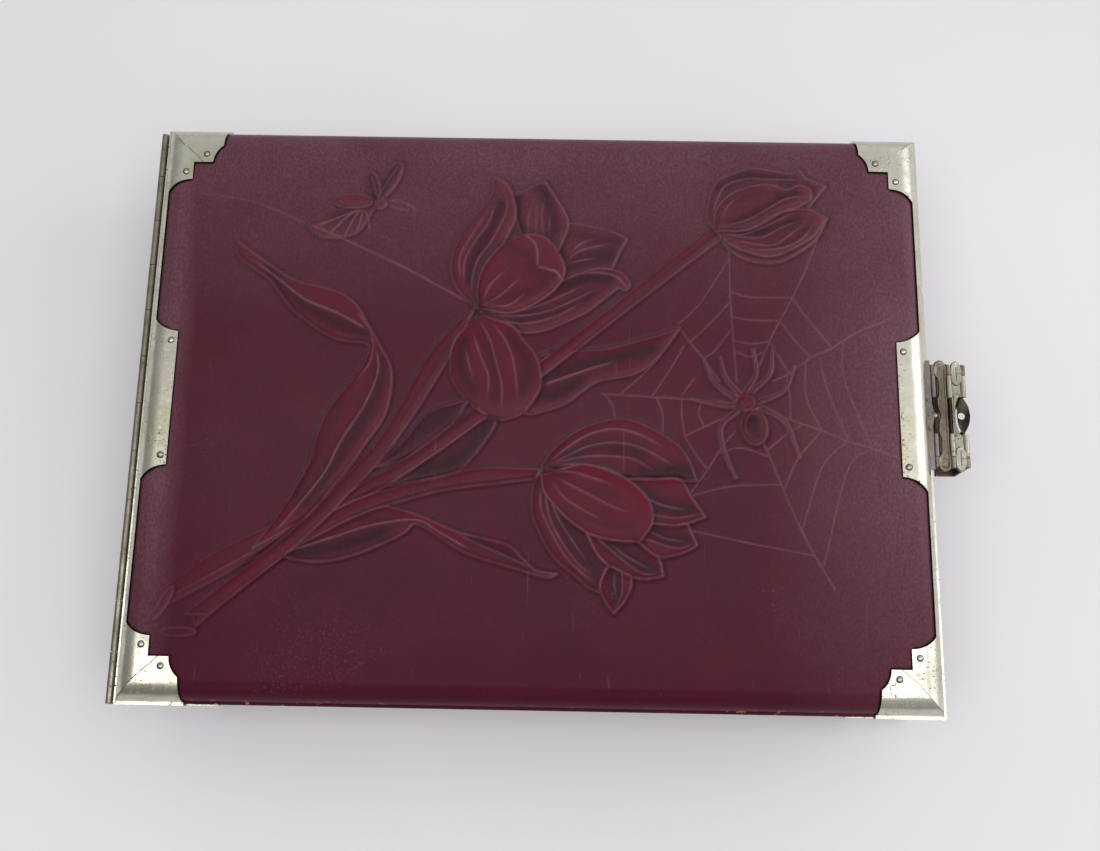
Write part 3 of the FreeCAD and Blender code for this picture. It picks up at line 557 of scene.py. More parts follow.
class Tooling:
    """The picture as maps over the lid's top: height in mm, and from 0 to 1 light (burnished lines with a
    painted highlight), red, and dark (painted shade).
    """

    def __init__(self, xs, ys):
        self.xs, self.ys = xs, ys
        self.height, self.light, self.red, self.dark = np.zeros((4, len(ys), len(xs)))

    def window(self, path, margin):
        low, high = path.min(0) - margin, path.max(0) + margin
        return (slice(*np.searchsorted(self.ys, (low[1], high[1]))),
                slice(*np.searchsorted(self.xs, (low[0], high[0]))))

    def distance(self, path, rows, cols, reach=REACH):
        """How far each place in the window is from the path, in mm, up to reach."""
        far = np.full((rows.stop - rows.start, cols.stop - cols.start), float(reach))
        for a, b in zip(path[:-1], path[1:]):
            near_rows, near_cols = self.window(np.array((a, b)), reach)
            near_rows = slice(max(near_rows.start, rows.start), min(near_rows.stop, rows.stop))
            near_cols = slice(max(near_cols.start, cols.start), min(near_cols.stop, cols.stop))
            if near_rows.start >= near_rows.stop or near_cols.start >= near_cols.stop:
                continue
            x = self.xs[near_cols][None, :] - a[0]
            y = self.ys[near_rows][:, None] - a[1]
            step = b - a
            t = np.clip((x * step[0] + y * step[1]) / max(step @ step, 1e-9), 0, 1)
            gap = np.hypot(x - t * step[0], y - t * step[1])
            part = far[near_rows.start - rows.start:near_rows.stop - rows.start,
                       near_cols.start - cols.start:near_cols.stop - cols.start]
            np.minimum(part, gap, out=part)
        return far

    def inside(self, outline, rows, cols):
        """True where the window lies inside the closed outline."""
        x, y = self.xs[cols], self.ys[rows]
        odd = np.zeros((len(y), len(x)), bool)
        for (x0, y0), (x1, y1) in zip(outline, np.roll(outline, -1, 0)):
            hit = np.flatnonzero((y0 > y) != (y1 > y))
            odd[hit] ^= x[None, :] < (x0 + (y[hit] - y0) * (x1 - x0) / (y1 - y0))[:, None]
        return odd

    def petal(self, *strokes, rise=0.9, slope=2.6, red=0.55, edge=0.6, groove=0.35, shade=0.0):
        """A raised form over what is there. Strokes run round it and meet at its sharp corners.

        shade darkens what lies just outside it. Gives the form, for what is drawn within it.
        """
        outline = np.vstack([smooth(s) if len(s) < 25 else s for s in strokes])
        closed = np.vstack([outline, outline[:1]])
        rows, cols = self.window(outline, REACH)
        gap = self.distance(closed, rows, cols)
        signed = np.where(self.inside(outline, rows, cols), gap, -gap)
        cover = ease(signed / 0.5 + 0.5)
        wall = ease(signed / 0.9 + 0.3)
        dome = np.sin(np.clip(signed / slope, 0, 1) * np.pi / 2)
        body = rise * (0.35 * wall + 0.65 * dome)
        outside = np.clip(-signed, 0, None)
        # painted shadow cast just outside the form
        cast = shade * np.exp(-((outside / SHADE_REACH) ** 2))
        self.dark[rows, cols] += cast * (1 - self.dark[rows, cols])
        for tones in (self.light, self.red, self.dark):
            tones[rows, cols] *= 1 - cover
        self.height[rows, cols] -= groove * np.exp(-(((outside - 0.5) / 0.7) ** 2)) * (1 - cover)
        self.height[rows, cols] += (body - self.height[rows, cols]) * cover
        self.red[rows, cols] += red * cover
        # painted shade in the groove round the form
        contour = OUTER_CONTOUR * np.exp(-(((outside - 1.1) / 0.8) ** 2)) * (1 - cover)
        self.dark[rows, cols] += contour * (1 - self.dark[rows, cols])
        # painted highlight along the form's crest, which is also its burnished rim
        rim_light = 0.9 * edge * np.exp(-((signed / RIM_WIDTH) ** 2))
        self.light[rows, cols] = np.maximum(self.light[rows, cols], rim_light)
        return rows, cols, cover

    def line(self, points, light=0.5, width=0.36, height=0.14, within=None, fade=3.0):
        """A fine tooled line, raised or cut, lighter for a burnished tone and a painted highlight. It fades
        over fade mm at both ends.
        """
        path = spaced(points, 60) if len(points) < 40 else points
        rows, cols = self.window(path, 2.5)
        gap = self.distance(path, rows, cols, 2.5)
        mark = np.exp(-((gap / width) ** 2))
        for end in (path[0], path[-1]):
            far = np.hypot(self.xs[cols][None, :] - end[0], self.ys[rows][:, None] - end[1])
            mark *= 0.15 + 0.85 * ease(far / fade)
        if within is not None:
            mark = mark * self.part_of(within, rows, cols)
        self.height[rows, cols] += height * mark
        self.light[rows, cols] = np.maximum(self.light[rows, cols], light * mark)

    def veins(self, form, *paths, light=0.55, fade=6.0):
        """Fine raised lines inside a form."""
        for path in paths:
            self.line(path, light, VEIN_WIDTH, 0.18, form, fade)

    def part_of(self, form, rows, cols):
        """A form's cover, cut or filled out to another window."""
        whole = np.zeros_like(self.dark)
        whole[form[0], form[1]] = form[2]
        return whole[rows, cols]

    def fade(self, place, radius, keep):
        """Softens what is drawn near a place: keep is the share left at the place itself."""
        far = np.hypot(self.xs[None, :] - place[0], self.ys[:, None] - place[1])
        left = keep + (1 - keep) * ease(far / radius)
        for values in (self.height, self.light, self.red, self.dark):
            values *= left

    def shadow(self, points, width, amount, within, tones=None):
        """A soft dark band (or a band of another tone) along a path, kept inside a form."""
        tones = self.dark if tones is None else tones
        rows, cols = within[:2]
        gap = self.distance(spaced(points, 30), rows, cols, 2.5 * width)
        band = amount * np.exp(-((gap / width) ** 2)) * within[2]
        tones[rows, cols] = np.clip(tones[rows, cols] + band, 0, 1)


# each crossed stem: its left side, its right side and where it is shaded
CROSSED_STEMS = (
    ([(-20, -2), (-44, -21), (-60, -31), (-78, -44), (-104, -65)],
     [(-98, -65), (-70, -43), (-48, -29), (-30, -16), (-16, -5)], [(-22, -6), (-50, -28), (-90, -58)]),
    ([(3, -25), (-19, -25), (-31, -28), (-47, -32), (-64, -38), (-84, -50), (-118, -75)],
     [(-116, -82), (-91, -60), (-68, -46), (-52, -39), (-32, -33), (-12, -30), (2, -28)],
     [(0, -28), (-30, -32), (-62, -43), (-96, -65)]),
    ([(-22, 37), (-38, 18), (-48, -2), (-56, -16), (-66, -28), (-84, -48), (-120, -78)],
     [(-112, -78), (-80, -51), (-62, -31), (-53, -20), (-45, -8), (-37, 6), (-28, 23)],
     [(-30, 22), (-43, 0), (-58, -24), (-90, -56)]))


def stems_and_leaves(art):
    """The bundle that runs up from the lower left: leaves, stems and their cut ends."""
    spray = art.petal(
        [(-130, -70), (-112, -57), (-91, -46), (-78, -38)],
        [(-78, -38), (-88, -52), (-104, -62), (-118, -70), (-133, -78)], [(-133, -78), (-130, -70)],
        rise=0.45, red=0.35, edge=0.35)
    art.line([(-126, -72), (-108, -62), (-90, -51), (-78, -40)], 0.3, within=spray)
    leaf_d = art.petal(
        [(-90, -57), (-82, -50), (-71, -42), (-56, -39), (-41, -42), (-26, -48), (-9, -52), (-3, -57),
         (2, -61), (9, -62)],
        [(9, -62), (5, -63), (-6, -60), (-23, -55), (-33, -49), (-41, -45), (-46, -49), (-61, -56),
         (-75, -59), (-90, -57)],
        rise=0.8, red=0.6)
    midrib = [(-89, -57), (-71, -51), (-56, -46), (-41, -44)]
    art.shadow([(-84, -57), (-66, -53), (-52, -49)], 3.4, 0.9, leaf_d)
    art.shadow([(-80, -50), (-62, -44), (-44, -45)], 1.8, 0.45, leaf_d)
    art.shadow([(-22, -50), (-10, -55), (0, -60)], 1.7, 0.8, leaf_d)
    art.line(midrib + [(-33, -48), (-22, -54)], 0.65, height=0.3, within=leaf_d)
    art.line([(-26, -49), (-14, -54), (-2, -59), (7, -62)], 0.4, within=leaf_d)
    leaf_b = art.petal(
        [(-24, 0), (-38, -5), (-46, -15), (-56, -25)], [(-56, -25), (-44, -21), (-30, -9), (-24, 0)],
        rise=0.5, red=0.35, edge=0.4)
    art.shadow([(-28, -4), (-40, -11), (-50, -20)], 4, 0.8, leaf_b)
    leaf_c = art.petal(
        [(-20, -7), (-14, -8), (-19, -17), (-27, -27)], [(-27, -27), (-42, -30), (-56, -30), (-20, -7)],
        rise=0.45, red=0.3, edge=0.4)
    art.shadow([(-17, -11), (-24, -20), (-40, -27)], 4.5, 0.85, leaf_c)
    leaf_a_upper = [(-112, 60), (-104, 54), (-90, 45), (-75, 41), (-67, 36), (-61, 27), (-57, 20),
                    (-53, 13), (-52, 5), (-54, -6), (-60, -16), (-67, -27), (-80, -44)]
    leaf_a_lower = [(-98, -55), (-88, -40), (-80, -24), (-78, -15), (-75, -6), (-70, 2), (-64, 10),
                    (-61, 17), (-62, 21), (-74, 23), (-89, 33), (-99, 45), (-111, 54), (-112, 60)]
    leaf_a = art.petal(leaf_a_upper, leaf_a_lower, rise=0.95, red=0.65, edge=0.55)
    art.shadow([(-100, 49), (-88, 37), (-74, 29), (-63, 24)], 2.6, 0.75, leaf_a)
    art.shadow([(-56, 14), (-57, 3), (-62, -8), (-70, -22), (-80, -38)], 3.0, 0.75, leaf_a)
    art.shadow([(-70, -2), (-75, -16), (-84, -36)], 2.0, 0.4, leaf_a)
    art.line([(-104, 51), (-97, 46), (-85, 37), (-73, 32), (-62, 26)], 0.75, height=0.3, within=leaf_a)
    art.line(
        [(-58, 18), (-57, 10), (-61, -2), (-69, -16), (-75, -29), (-90, -49)], 0.6, height=0.3,
        within=leaf_a)
    art.line([(-66, 33), (-60, 24), (-60, 14), (-65, 6)], 0.5, within=leaf_a)
    for left, right, shaded in CROSSED_STEMS:
        stem = art.petal(left, right, slope=2.0, red=0.6, edge=0.5)
        art.shadow(shaded, 1.0, 0.35, stem)
    for end, turn in (((-122, -84), 0), ((-128, -74), 62)):
        cut = art.petal(ellipse(end, 6.2, 1.4, turn), rise=0.5, slope=1.0, red=0.1, edge=0.7)
        art.shadow([end, (end[0] + 3, end[1])], 1.0, 0.2, cut)
    art.fade((-135, -86), 62, 0.35)


def tall_stem(art):
    """The stem from the bud to the closed tulip at the back."""
    leaf = art.petal(
        [(-5, 8), (2, 17), (15, 19), (26, 20), (40, 24), (52, 28)],
        [(52, 28), (48, 22), (43, 16), (36, 11), (23, 8), (17, 4), (12, 0), (5, -3), (-4, -4), (-5, 8)],
        rise=0.6, red=0.5, edge=0.5)
    art.shadow([(4, 9), (14, 13), (27, 16), (42, 20)], 2.4, 0.85, leaf)
    art.shadow([(0, 2), (8, 3), (16, 7)], 3.0, 0.9, leaf)
    art.line([(3, 6), (11, 9), (19, 12), (28, 15)], 0.7, height=0.25, within=leaf)
    stem = art.petal(
        [(1, 14), (33, 41), (65, 69)], [(68, 64), (34, 36), (1, 8)], slope=2.0, red=0.75, edge=0.5)
    art.shadow([(4, 9), (34, 37), (66, 65)], 0.9, 0.5, stem)


def open_tulip(art):
    """The open tulip at the top: petals behind, a rolled one at the left, a cupped one in front."""
    right = art.petal(
        [(8, 66), (11, 69), (19, 68), (27, 66), (33, 63)], [(33, 63), (30, 57), (27, 50)],
        [(27, 50), (10, 44), (8, 66)], rise=0.7, red=0.45)
    art.shadow([(14, 64), (24, 62), (30, 62)], 2.4, 0.55, right)
    art.shadow([(14, 53), (21, 55), (27, 56)], 3.4, 0.8, right)
    art.veins(
        right, [(11, 55), (15, 60), (21, 63)], [(10, 53), (16, 58), (28, 61)],
        [(10, 52), (16, 54), (22, 55)])
    lower = art.petal(
        [(-21, 34), (-12, 28), (-4, 26), (3, 27), (10, 30), (18, 34), (24, 39), (30, 44)],
        [(30, 44), (33, 43), (34, 46), (30, 50), (23, 51), (16, 49), (9, 46)],
        [(9, 46), (-4, 40), (-21, 34)], rise=0.8, red=0.5)
    art.shadow([(10, 43), (18, 47), (26, 47)], 2.6, 0.9, lower)
    art.shadow([(-8, 30), (6, 34), (20, 41)], 2.2, 0.7, lower)
    art.veins(
        lower, [(-18, 33), (-6, 34), (3, 37), (11, 41), (17, 44)],
        [(-17, 32), (-5, 32), (4, 34), (13, 38), (22, 43)], [(-14, 30), (-4, 29), (7, 32), (16, 37)])
    art.line([(9, 47), (17, 49), (25, 49), (30, 47), (33, 43)], 0.65, within=lower)
    back = art.petal(
        [(-10, 76), (-9, 80), (-4, 83), (2, 86)], [(2, 86), (7, 78), (11, 70), (10, 64), (7, 57)],
        [(7, 57), (-4, 60), (-10, 76)], rise=0.75, red=0.45)
    art.shadow([(-8, 78), (-8, 70), (-5, 62)], 2.4, 0.9, back)
    art.shadow([(1, 83), (4, 76), (6, 66)], 3.2, 0.75, back)
    art.veins(
        back, [(-3, 77), (-4, 70), (-4, 63)], [(-1, 78), (-1, 71), (-1, 63)],
        [(2, 79), (1, 71), (2, 63)], [(4, 73), (4, 63)], light=0.42)
    rolled = art.petal(
        [(-22, 35), (-29, 42), (-32, 50), (-31, 58), (-27, 67), (-22, 74), (-18, 80), (-17, 88)],
        [(-17, 88), (-12, 84), (-9, 76), (-9, 70), (-12, 63), (-15, 57), (-20, 50), (-22, 43),
         (-22, 35)],
        rise=1.0, red=0.6)
    art.shadow([(-14, 76), (-17, 67), (-22, 58), (-25, 46)], 2.6, 0.85, rolled)
    art.shadow([(-12, 80), (-11, 72), (-15, 63)], 1.2, 0.5, rolled, art.red)
    art.veins(
        rolled, [(-13, 81), (-12, 74), (-15, 66), (-18, 60), (-22, 54), (-24, 47), (-24, 41)],
        [(-16, 77), (-19, 68), (-24, 60), (-27, 53), (-27, 44)],
        [(-20, 72), (-25, 63), (-29, 54), (-28, 45)])
    front = art.petal(
        [(-21, 35), (-22, 41), (-21, 48), (-18, 54), (-14, 59), (-10, 62), (-5, 64), (2, 63), (7, 58),
         (10, 51), (9, 46)],
        [(9, 46), (6, 42), (1, 38), (-4, 35), (-11, 33), (-21, 35)], rise=1.35, red=0.95, edge=0.65,
        shade=0.6)
    art.shadow([(-16, 38), (-7, 40), (3, 44)], 2.4, 0.45, front)
    art.shadow([(-10, 58), (-4, 56), (-1, 50), (6, 48)], 2.6, 0.4, front)
    art.veins(
        front, [(-20, 37), (-17, 44), (-11, 50)], [(-19, 36), (-13, 40), (-6, 47)],
        [(-17, 35), (-10, 36), (-4, 41)], light=0.65)
    art.line([(-5, 64), (-1, 60), (0, 55), (0, 51)], 0.9, height=-0.3, within=front, fade=1.5)
    art.line([(0, 51), (4, 50), (7, 49), (9, 46)], 0.95, height=-0.3, within=front, fade=1.5)


def drooping_bud(art):
    """The round bud under the open tulip."""
    bud = art.petal(
        [(-20, 32), (-26, 27), (-30, 21), (-31, 13), (-29, 6), (-24, 0), (-18, -5), (-11, -7)],
        [(-11, -7), (-4, -4), (1, 3), (2, 9), (0, 17), (-4, 22), (-9, 28), (-20, 32)], rise=1.2,
        slope=7, red=0.75, edge=0.5)
    art.shadow([(-26, 22), (-27, 12), (-22, 3)], 2.2, 0.7, bud)
    art.shadow([(-19, 24), (-15, 12), (-14, 0)], 2.2, 0.5, bud)
    art.shadow([(-9, 24), (-3, 14), (-4, 3)], 2.6, 0.65, bud)
    art.veins(
        bud, [(-23, 25), (-20, 16), (-17, 9), (-17, 1)], [(-26, 20), (-24, 13), (-22, 6)],
        [(-21, 30), (-17, 23), (-14, 13), (-12, 5), (-12, -4)],
        [(-16, 29), (-11, 22), (-8, 14), (-6, 0)])


def closed_tulip(art):
    """The tulip at the back right, its petals closing to the right."""
    outer = art.petal(
        [(66, 67), (63, 72), (64, 80), (67, 87), (72, 90), (80, 93), (89, 92), (95, 91), (98, 93)],
        [(98, 93), (101, 89), (108, 86)], [(108, 86), (101, 77)], [(101, 77), (108, 73)],
        [(108, 73), (104, 65), (97, 59), (89, 55), (80, 55), (73, 58), (69, 62), (66, 67)], rise=0.7,
        red=0.5)
    art.shadow([(68, 84), (76, 89), (86, 89), (95, 88)], 2.4, 0.85, outer)
    art.shadow([(72, 60), (84, 57), (97, 61)], 1.6, 0.5, outer)
    art.veins(outer, [(65, 74), (69, 84), (77, 88), (88, 88), (97, 88)], fade=2.0)
    lower = art.petal(
        [(66, 67), (72, 61), (79, 58), (87, 57), (96, 61), (103, 66), (107, 72)],
        [(107, 72), (101, 76), (91, 75)], [(91, 75), (84, 70), (77, 67), (66, 67)], rise=0.95, red=0.7)
    art.shadow([(76, 65), (86, 67), (96, 71)], 3.0, 0.85, lower)
    art.shadow([(84, 60), (94, 63), (101, 68)], 1.8, 0.6, lower)
    art.veins(
        lower, [(67, 66), (75, 65), (83, 68), (89, 71), (95, 74)],
        [(69, 65), (82, 64), (90, 68), (97, 71)], [(72, 63), (86, 61), (93, 65), (99, 70)],
        [(79, 59), (90, 60), (98, 64), (103, 71)])
    front = art.petal(
        [(66, 67), (66, 74), (71, 81), (79, 85), (87, 86), (93, 84), (98, 86), (102, 84), (102, 80)],
        [(102, 80), (97, 77), (91, 75)], [(91, 75), (87, 73), (81, 69), (75, 67), (66, 67)], rise=1.25,
        red=0.9, shade=0.45)
    art.shadow([(72, 69), (82, 74), (90, 79), (96, 82)], 2.4, 0.8, front)
    art.shadow([(72, 78), (82, 82), (90, 82)], 2.0, 0.35, front)
    art.veins(
        front, [(68, 68), (78, 71), (86, 76), (93, 80), (101, 81)], [(68, 71), (71, 77), (76, 81)])


def nodding_tulip(art):
    """The large tulip at the front, opening to the right."""
    upper = art.petal(
        [(3, -24), (6, -19), (11, -14), (17, -10), (25, -7), (32, -6), (39, -8), (45, -11), (51, -15),
         (55, -20), (58, -28)],
        [(58, -28), (45, -28), (32, -29), (20, -28), (3, -24)], rise=0.95, red=0.6)
    art.shadow([(40, -26), (50, -25), (56, -26)], 3.4, 0.85, upper)
    art.shadow([(12, -20), (24, -16), (38, -18)], 3.4, 0.65, upper)
    art.veins(
        upper, [(6, -22), (12, -17), (20, -12), (29, -10), (38, -12), (46, -16)],
        [(7, -23), (14, -19), (21, -16), (30, -15), (39, -17), (50, -23)],
        [(8, -23), (14, -21), (21, -20), (29, -20), (36, -21), (43, -25)],
        [(8, -24), (15, -23), (24, -24), (33, -27)])
    low = art.petal(
        [(2, -26), (0, -32), (0, -40), (3, -48), (8, -56), (14, -61), (20, -66), (26, -69)],
        [(26, -69), (27, -60), (20, -46), (2, -26)], rise=0.9, red=0.6)
    art.shadow([(8, -38), (14, -50), (22, -60)], 4.0, 0.7, low)
    art.veins(
        low, [(3, -31), (3, -39), (7, -48), (12, -56), (17, -61), (22, -65)],
        [(4, -31), (6, -42), (10, -50), (16, -58), (21, -62)],
        [(5, -33), (9, -42), (14, -50), (19, -57)])
    nodding_claws(art)
    oval = art.petal(
        [(3, -27), (10, -25), (18, -23), (26, -25), (33, -28), (39, -33), (42, -38), (42, -44),
         (38, -50)],
        [(38, -50), (30, -50), (21, -48), (13, -43), (8, -38), (4, -33), (3, -27)], rise=1.4, slope=4.5,
        red=0.95, shade=0.55)
    art.veins(
        oval, [(7, -26), (14, -26), (21, -28), (28, -30)],
        [(8, -28), (14, -31), (22, -35), (28, -38), (34, -40)],
        [(7, -30), (11, -35), (17, -39), (25, -43)])
    art.shadow([(9, -29), (20, -32), (30, -34)], 2.4, 0.3, oval)
    art.shadow([(12, -38), (22, -43), (34, -46)], 2.4, 0.3, oval)


# each pointed petal: its rim, the sides at its tip and root, and a line inside it
CLAWS = (
    ([(26, -60), (24, -66), (26, -71), (29, -75)], [(29, -75), (33, -70), (35, -64), (33, -56)],
     [(33, -56), (26, -60)], [(29, -60), (29, -65), (30, -71)]),
    ([(36, -49), (43, -54), (45, -57), (46, -62)],
     [(46, -62), (39, -63), (32, -61), (24, -56), (19, -47)], [(19, -47), (36, -49)],
     [(27, -51), (34, -56), (42, -60)]),
    ([(38, -42), (53, -43), (56, -47), (58, -51)], [(58, -51), (52, -54), (44, -55), (37, -50)],
     [(37, -50), (38, -42)], [(40, -46), (47, -49), (54, -50)]),
    ([(30, -28), (42, -28), (52, -28), (56, -34), (61, -41)],
     [(61, -41), (52, -44), (46, -44), (38, -43)], [(38, -43), (30, -28)],
     [(37, -33), (45, -37), (55, -39)]))


def nodding_claws(art):
    """The four pointed petals at the mouth of the nodding tulip: a red rim and a dark, lined inside."""
    for rim, tip_side, root_side, inside in CLAWS:
        claw = art.petal(rim, tip_side, root_side, rise=0.95, red=0.8, edge=0.75, shade=0.3)
        art.shadow(inside, 3.2, 0.95, claw)
        art.veins(claw, inside)
        lower = [((x + 2 * side_x) / 3, (y + 2 * side_y) / 3)
                 for (x, y), (side_x, side_y) in zip(inside, (tip_side[-1], tip_side[1], tip_side[0]))]
        art.veins(claw, lower, light=0.45, fade=4.0)


def bee(art):
    """The bee at the back left."""
    for tip, root, wide in (((-53, 93), (-61, 78), 3.1), ((-64, 89), (-61, 78), 2.2)):
        middle = ((tip[0] + root[0]) / 2, (tip[1] + root[1]) / 2)
        length = math.dist(tip, root) / 2
        turn = math.degrees(math.atan2(tip[1] - root[1], tip[0] - root[0]))
        wing = art.petal(ellipse(middle, length, wide, turn), rise=0.5, slope=1.4, red=0.3, edge=0.4)
        art.shadow([root, middle, tip], 1.7, 0.85, wing)
        art.line([root, middle, tip], 0.4, within=wing)
    under = art.petal(
        [(-62, 74), (-76, 73), (-86, 66)], [(-86, 66), (-80, 62), (-68, 64), (-62, 74)], rise=0.3,
        red=0.3, edge=0.25)
    art.shadow([(-66, 72), (-76, 70)], 2.6, 0.7, under)
    for foot in ((-84, 66), (-79, 62), (-73, 61), (-68, 63), (-63, 64)):
        art.line([(-66, 74), ((foot[0] - 65) / 2, 70), foot], 0.55, height=0.2)
    art.petal(ellipse((-70, 77), 7.2, 2.7), rise=0.8, slope=1.8, red=0.85, edge=0.6)
    art.petal(ellipse((-60, 76), 2.6, 2.0), rise=0.6, slope=1.4, red=0.6, edge=0.45)
    art.line([(-58, 77), (-52, 77), (-45, 73)], 0.5)
    art.line([(-58, 76), (-53, 74), (-48, 73)], 0.5)
    art.line([(-86, 67), (-74, 62), (-57, 54), (-45, 48), (-25, 37)], 0.55, 0.36, -0.15)
    art.line([(-130, 80), (-108, 76), (-86, 67)], 0.25, 0.36, -0.1)


WEB_RADIALS = (
    ((67, 8), (61, 17), (56, 23)), ((73, 8), (72, 23), (71, 43), (71, 61)),
    ((81, 14), (86, 26), (94, 41), (100, 54), (106, 70)),
    ((86, 9), (92, 12), (100, 18), (108, 22), (117, 28), (128, 33)),
    ((86, -3), (94, -6), (103, -9), (113, -13), (121, -15), (133, -19)),
    ((82, -14), (85, -21), (90, -34), (97, -50), (106, -66)),
    ((72, -10), (67, -16), (62, -24), (55, -34)), ((68, 1), (46, 2), (24, 3)),
    ((70, -4), (62, -8), (54, -12)))
WEB_THREADS = (
    ((71, 43), (78, 41), (94, 41)), ((71, 33), (79, 32), (89, 32)), ((72, 24), (79, 23), (85, 24)),
    ((72, 20), (78, 18), (83, 20)), ((94, 41), (100, 32), (108, 22)), ((89, 32), (94, 25), (100, 18)),
    ((85, 24), (92, 12)), ((91, 12), (92, 3), (92, -5)), ((98, 16), (98, 3), (103, -9)),
    ((103, 19), (106, 5), (113, -13)), ((112, 25), (112, 10), (121, -15)),
    ((96, -7), (90, -11), (83, -17)), ((103, -9), (94, -20), (89, -31)),
    ((112, -13), (103, -22), (95, -45)), ((121, -15), (112, -23), (102, -58)),
    ((71, 56), (65, 46), (59, 37), (52, 30)), ((71, 39), (64, 31), (56, 23)),
    ((71, 28), (65, 20), (61, 17)), ((53, 2), (53, -5), (54, -12)), ((60, 1), (59, -4), (61, -8)),
    ((52, 29), (56, 23)), ((50, 26), (43, 15), (31, 3)), ((54, 22), (49, 13), (42, 2)),
    ((58, 10), (53, 3)), ((25, 3), (28, -1), (29, -6)), ((44, 2), (46, -4), (46, -12)),
    ((54, -12), (58, -19), (62, -24)), ((55, -34), (70, -30), (88, -29)),
    ((56, -46), (76, -50), (99, -54)), ((66, -18), (74, -16), (84, -19)))
WEB_END = 0.5
LEG_POINTS = 30
SPIDER_LEGS = (
    ((73, 2), (65, 8), (61, 17)), ((74, 4), (69, 10), (67, 18)), ((76, 5), (80, 12), (79, 21)),
    ((78, 5), (85, 12), (86, 21)), ((80, 1), (90, 6), (94, 15)), ((72, 0), (66, 0), (56, 2)),
    ((73, -2), (67, -8), (68, -17), (72, -27)), ((82, -1), (90, -6), (95, -19)))


def web_and_spider(art):
    """The torn web at the right, and the spider in the middle of it."""
    for thread in WEB_RADIALS:
        art.line(thread, 0.52, 0.30, -0.14, fade=WEB_END)
    for thread in WEB_THREADS:
        art.line(thread, 0.47, 0.29, -0.12, fade=WEB_END)
    for leg in SPIDER_LEGS:
        curve = spaced(leg, LEG_POINTS)
        across = np.gradient(curve, axis=0)[:, ::-1] * (-1, 1)
        across /= np.linalg.norm(across, axis=1, keepdims=True)
        taper = np.linspace(0.8, 0.25, LEG_POINTS)[:, None]
        art.petal(
            np.vstack([curve + across * taper, (curve - across * taper)[::-1]]), rise=0.45, slope=0.6,
            red=0.35, edge=0.55, groove=0.15)
    art.petal(ellipse((79, -8), 6.4, 4.6, 97), rise=1.1, slope=3.6, red=0.8, edge=0.65)
    belly = art.petal(ellipse((79, -8), 4.8, 3.2, 97), rise=1.2, slope=3.0, red=0.7, edge=0.1, groove=0)
    art.shadow([(78.5, -6), (79.5, -10)], 2.4, 1.0, belly)
    art.petal(ellipse((76, 1), 3.2, 2.6, 10), rise=0.9, slope=2.0, red=0.95, edge=0.55)
    art.line([(73, -1), (78, -2), (82, 0)], 0.9, 0.5, 0.2)


# ---------------------------------------------------------------- the padded lid

# mm between the lid's points, and how many times the maps of the metal and of its seam are blurred
GRID, METAL_BLUR, SEAM_BLUR = ((0.45, 90, 2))
LID_LIP_TOP = 47.8
LID_FOOT = 1.1
TURN_IN = 13
SHOULDER_RADIUS = 8.0
SHOULDER_STEPS = 17
CROWN_RISE = 1.6
SWELL_CAP = 1.5
METAL_REACH = 27
UNDER_METAL = 0.12
SEAM_DEPTH = 0.35


def sheet_places(half):
    """Places across the lid, even on top and then round the edge, and how far each lies below the top."""
    flat = half - LID_FOOT - SHOULDER_RADIUS
    top = np.linspace(-flat, flat, int(2 * flat / GRID) + 1)
    turn = np.radians(np.linspace(0, 90, SHOULDER_STEPS))[1:]
    out, drop = flat + SHOULDER_RADIUS * np.sin(turn), SHOULDER_RADIUS * (1 - np.cos(turn))
    return (np.concatenate([-out[::-1], top, out]),
            np.concatenate([drop[::-1], np.zeros(len(top)), drop]))


def soften(values, steps):
    """The map blurred by averaging neighbours over and over."""
    for _ in range(steps):
        edged = np.pad(values, 1, mode="edge")
        values = (edged[:-2, 1:-1] + edged[2:, 1:-1] + edged[1:-1, :-2] + edged[1:-1, 2:] + values) / 5
    return values


def under_metal(xs, ys):
    """1 where a lid mount lies over the leather, 0 elsewhere."""
    graph = bpy.context.evaluated_depsgraph_get()
    trees = [BVHTree.FromObject(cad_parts[n], graph) for n in ("lid_mount_left", "lid_mount_right")]
    covered = np.zeros((len(ys), len(xs)))
    for col in np.flatnonzero(np.abs(xs) > abs(xs[0]) - METAL_REACH):
        tree = trees[int(xs[col] > 0)]
        for row, y in enumerate(ys):
            hit = tree.ray_cast(Vector((xs[col] * MM, y * MM, 0.08)), Vector((0, 0, -1)))[0]
            covered[row, col] = hit is not None
    return covered


def wadding_swell(xs, ys, low, high):
    """How far the wadding lifts the leather: Blender's cloth on a coarse pad, read over the fine grid."""
    edge = LID_FOOT + SHOULDER_RADIUS / 2
    bottom = np.array((low[0] + edge, low[1] + edge, LID_LIP_TOP))
    top = np.array((high[0] - edge, high[1] - edge, high[2] - CROWN_RISE))
    points, faces, free = pillow(bottom, top, 6, 2)
    lift = swell(points, faces, free, SWELL_CAP)[:, 2]
    cols = len(np.unique(points[free][:, 0].round(4))) + 2
    rows = int(free.sum() / (cols - 2)) + 2
    lift = soften(lift[: rows * cols].reshape(rows, cols), 2)
    coarse_x, coarse_y = points[:cols, 0], points[: rows * cols : cols, 1]
    by_row = np.array([np.interp(xs, coarse_x, line, 0, 0) for line in lift])
    return np.array([np.interp(ys, coarse_y, line, 0, 0) for line in by_row.T]).T


def crown(places, half):
    """The board's arch: CROWN_RISE in the middle, nothing at the shoulder."""
    return CROWN_RISE * (1 - np.clip(places / half, -1, 1) ** 2)


def drawn_picture(xs, ys):
    """The whole picture, from what lies deepest to what lies on top."""
    art = Tooling(xs, ys)
    for draw in (web_and_spider, bee, stems_and_leaves, tall_stem, open_tulip, drooping_bud, closed_tulip,
                 nodding_tulip):
        draw(art)
    return art


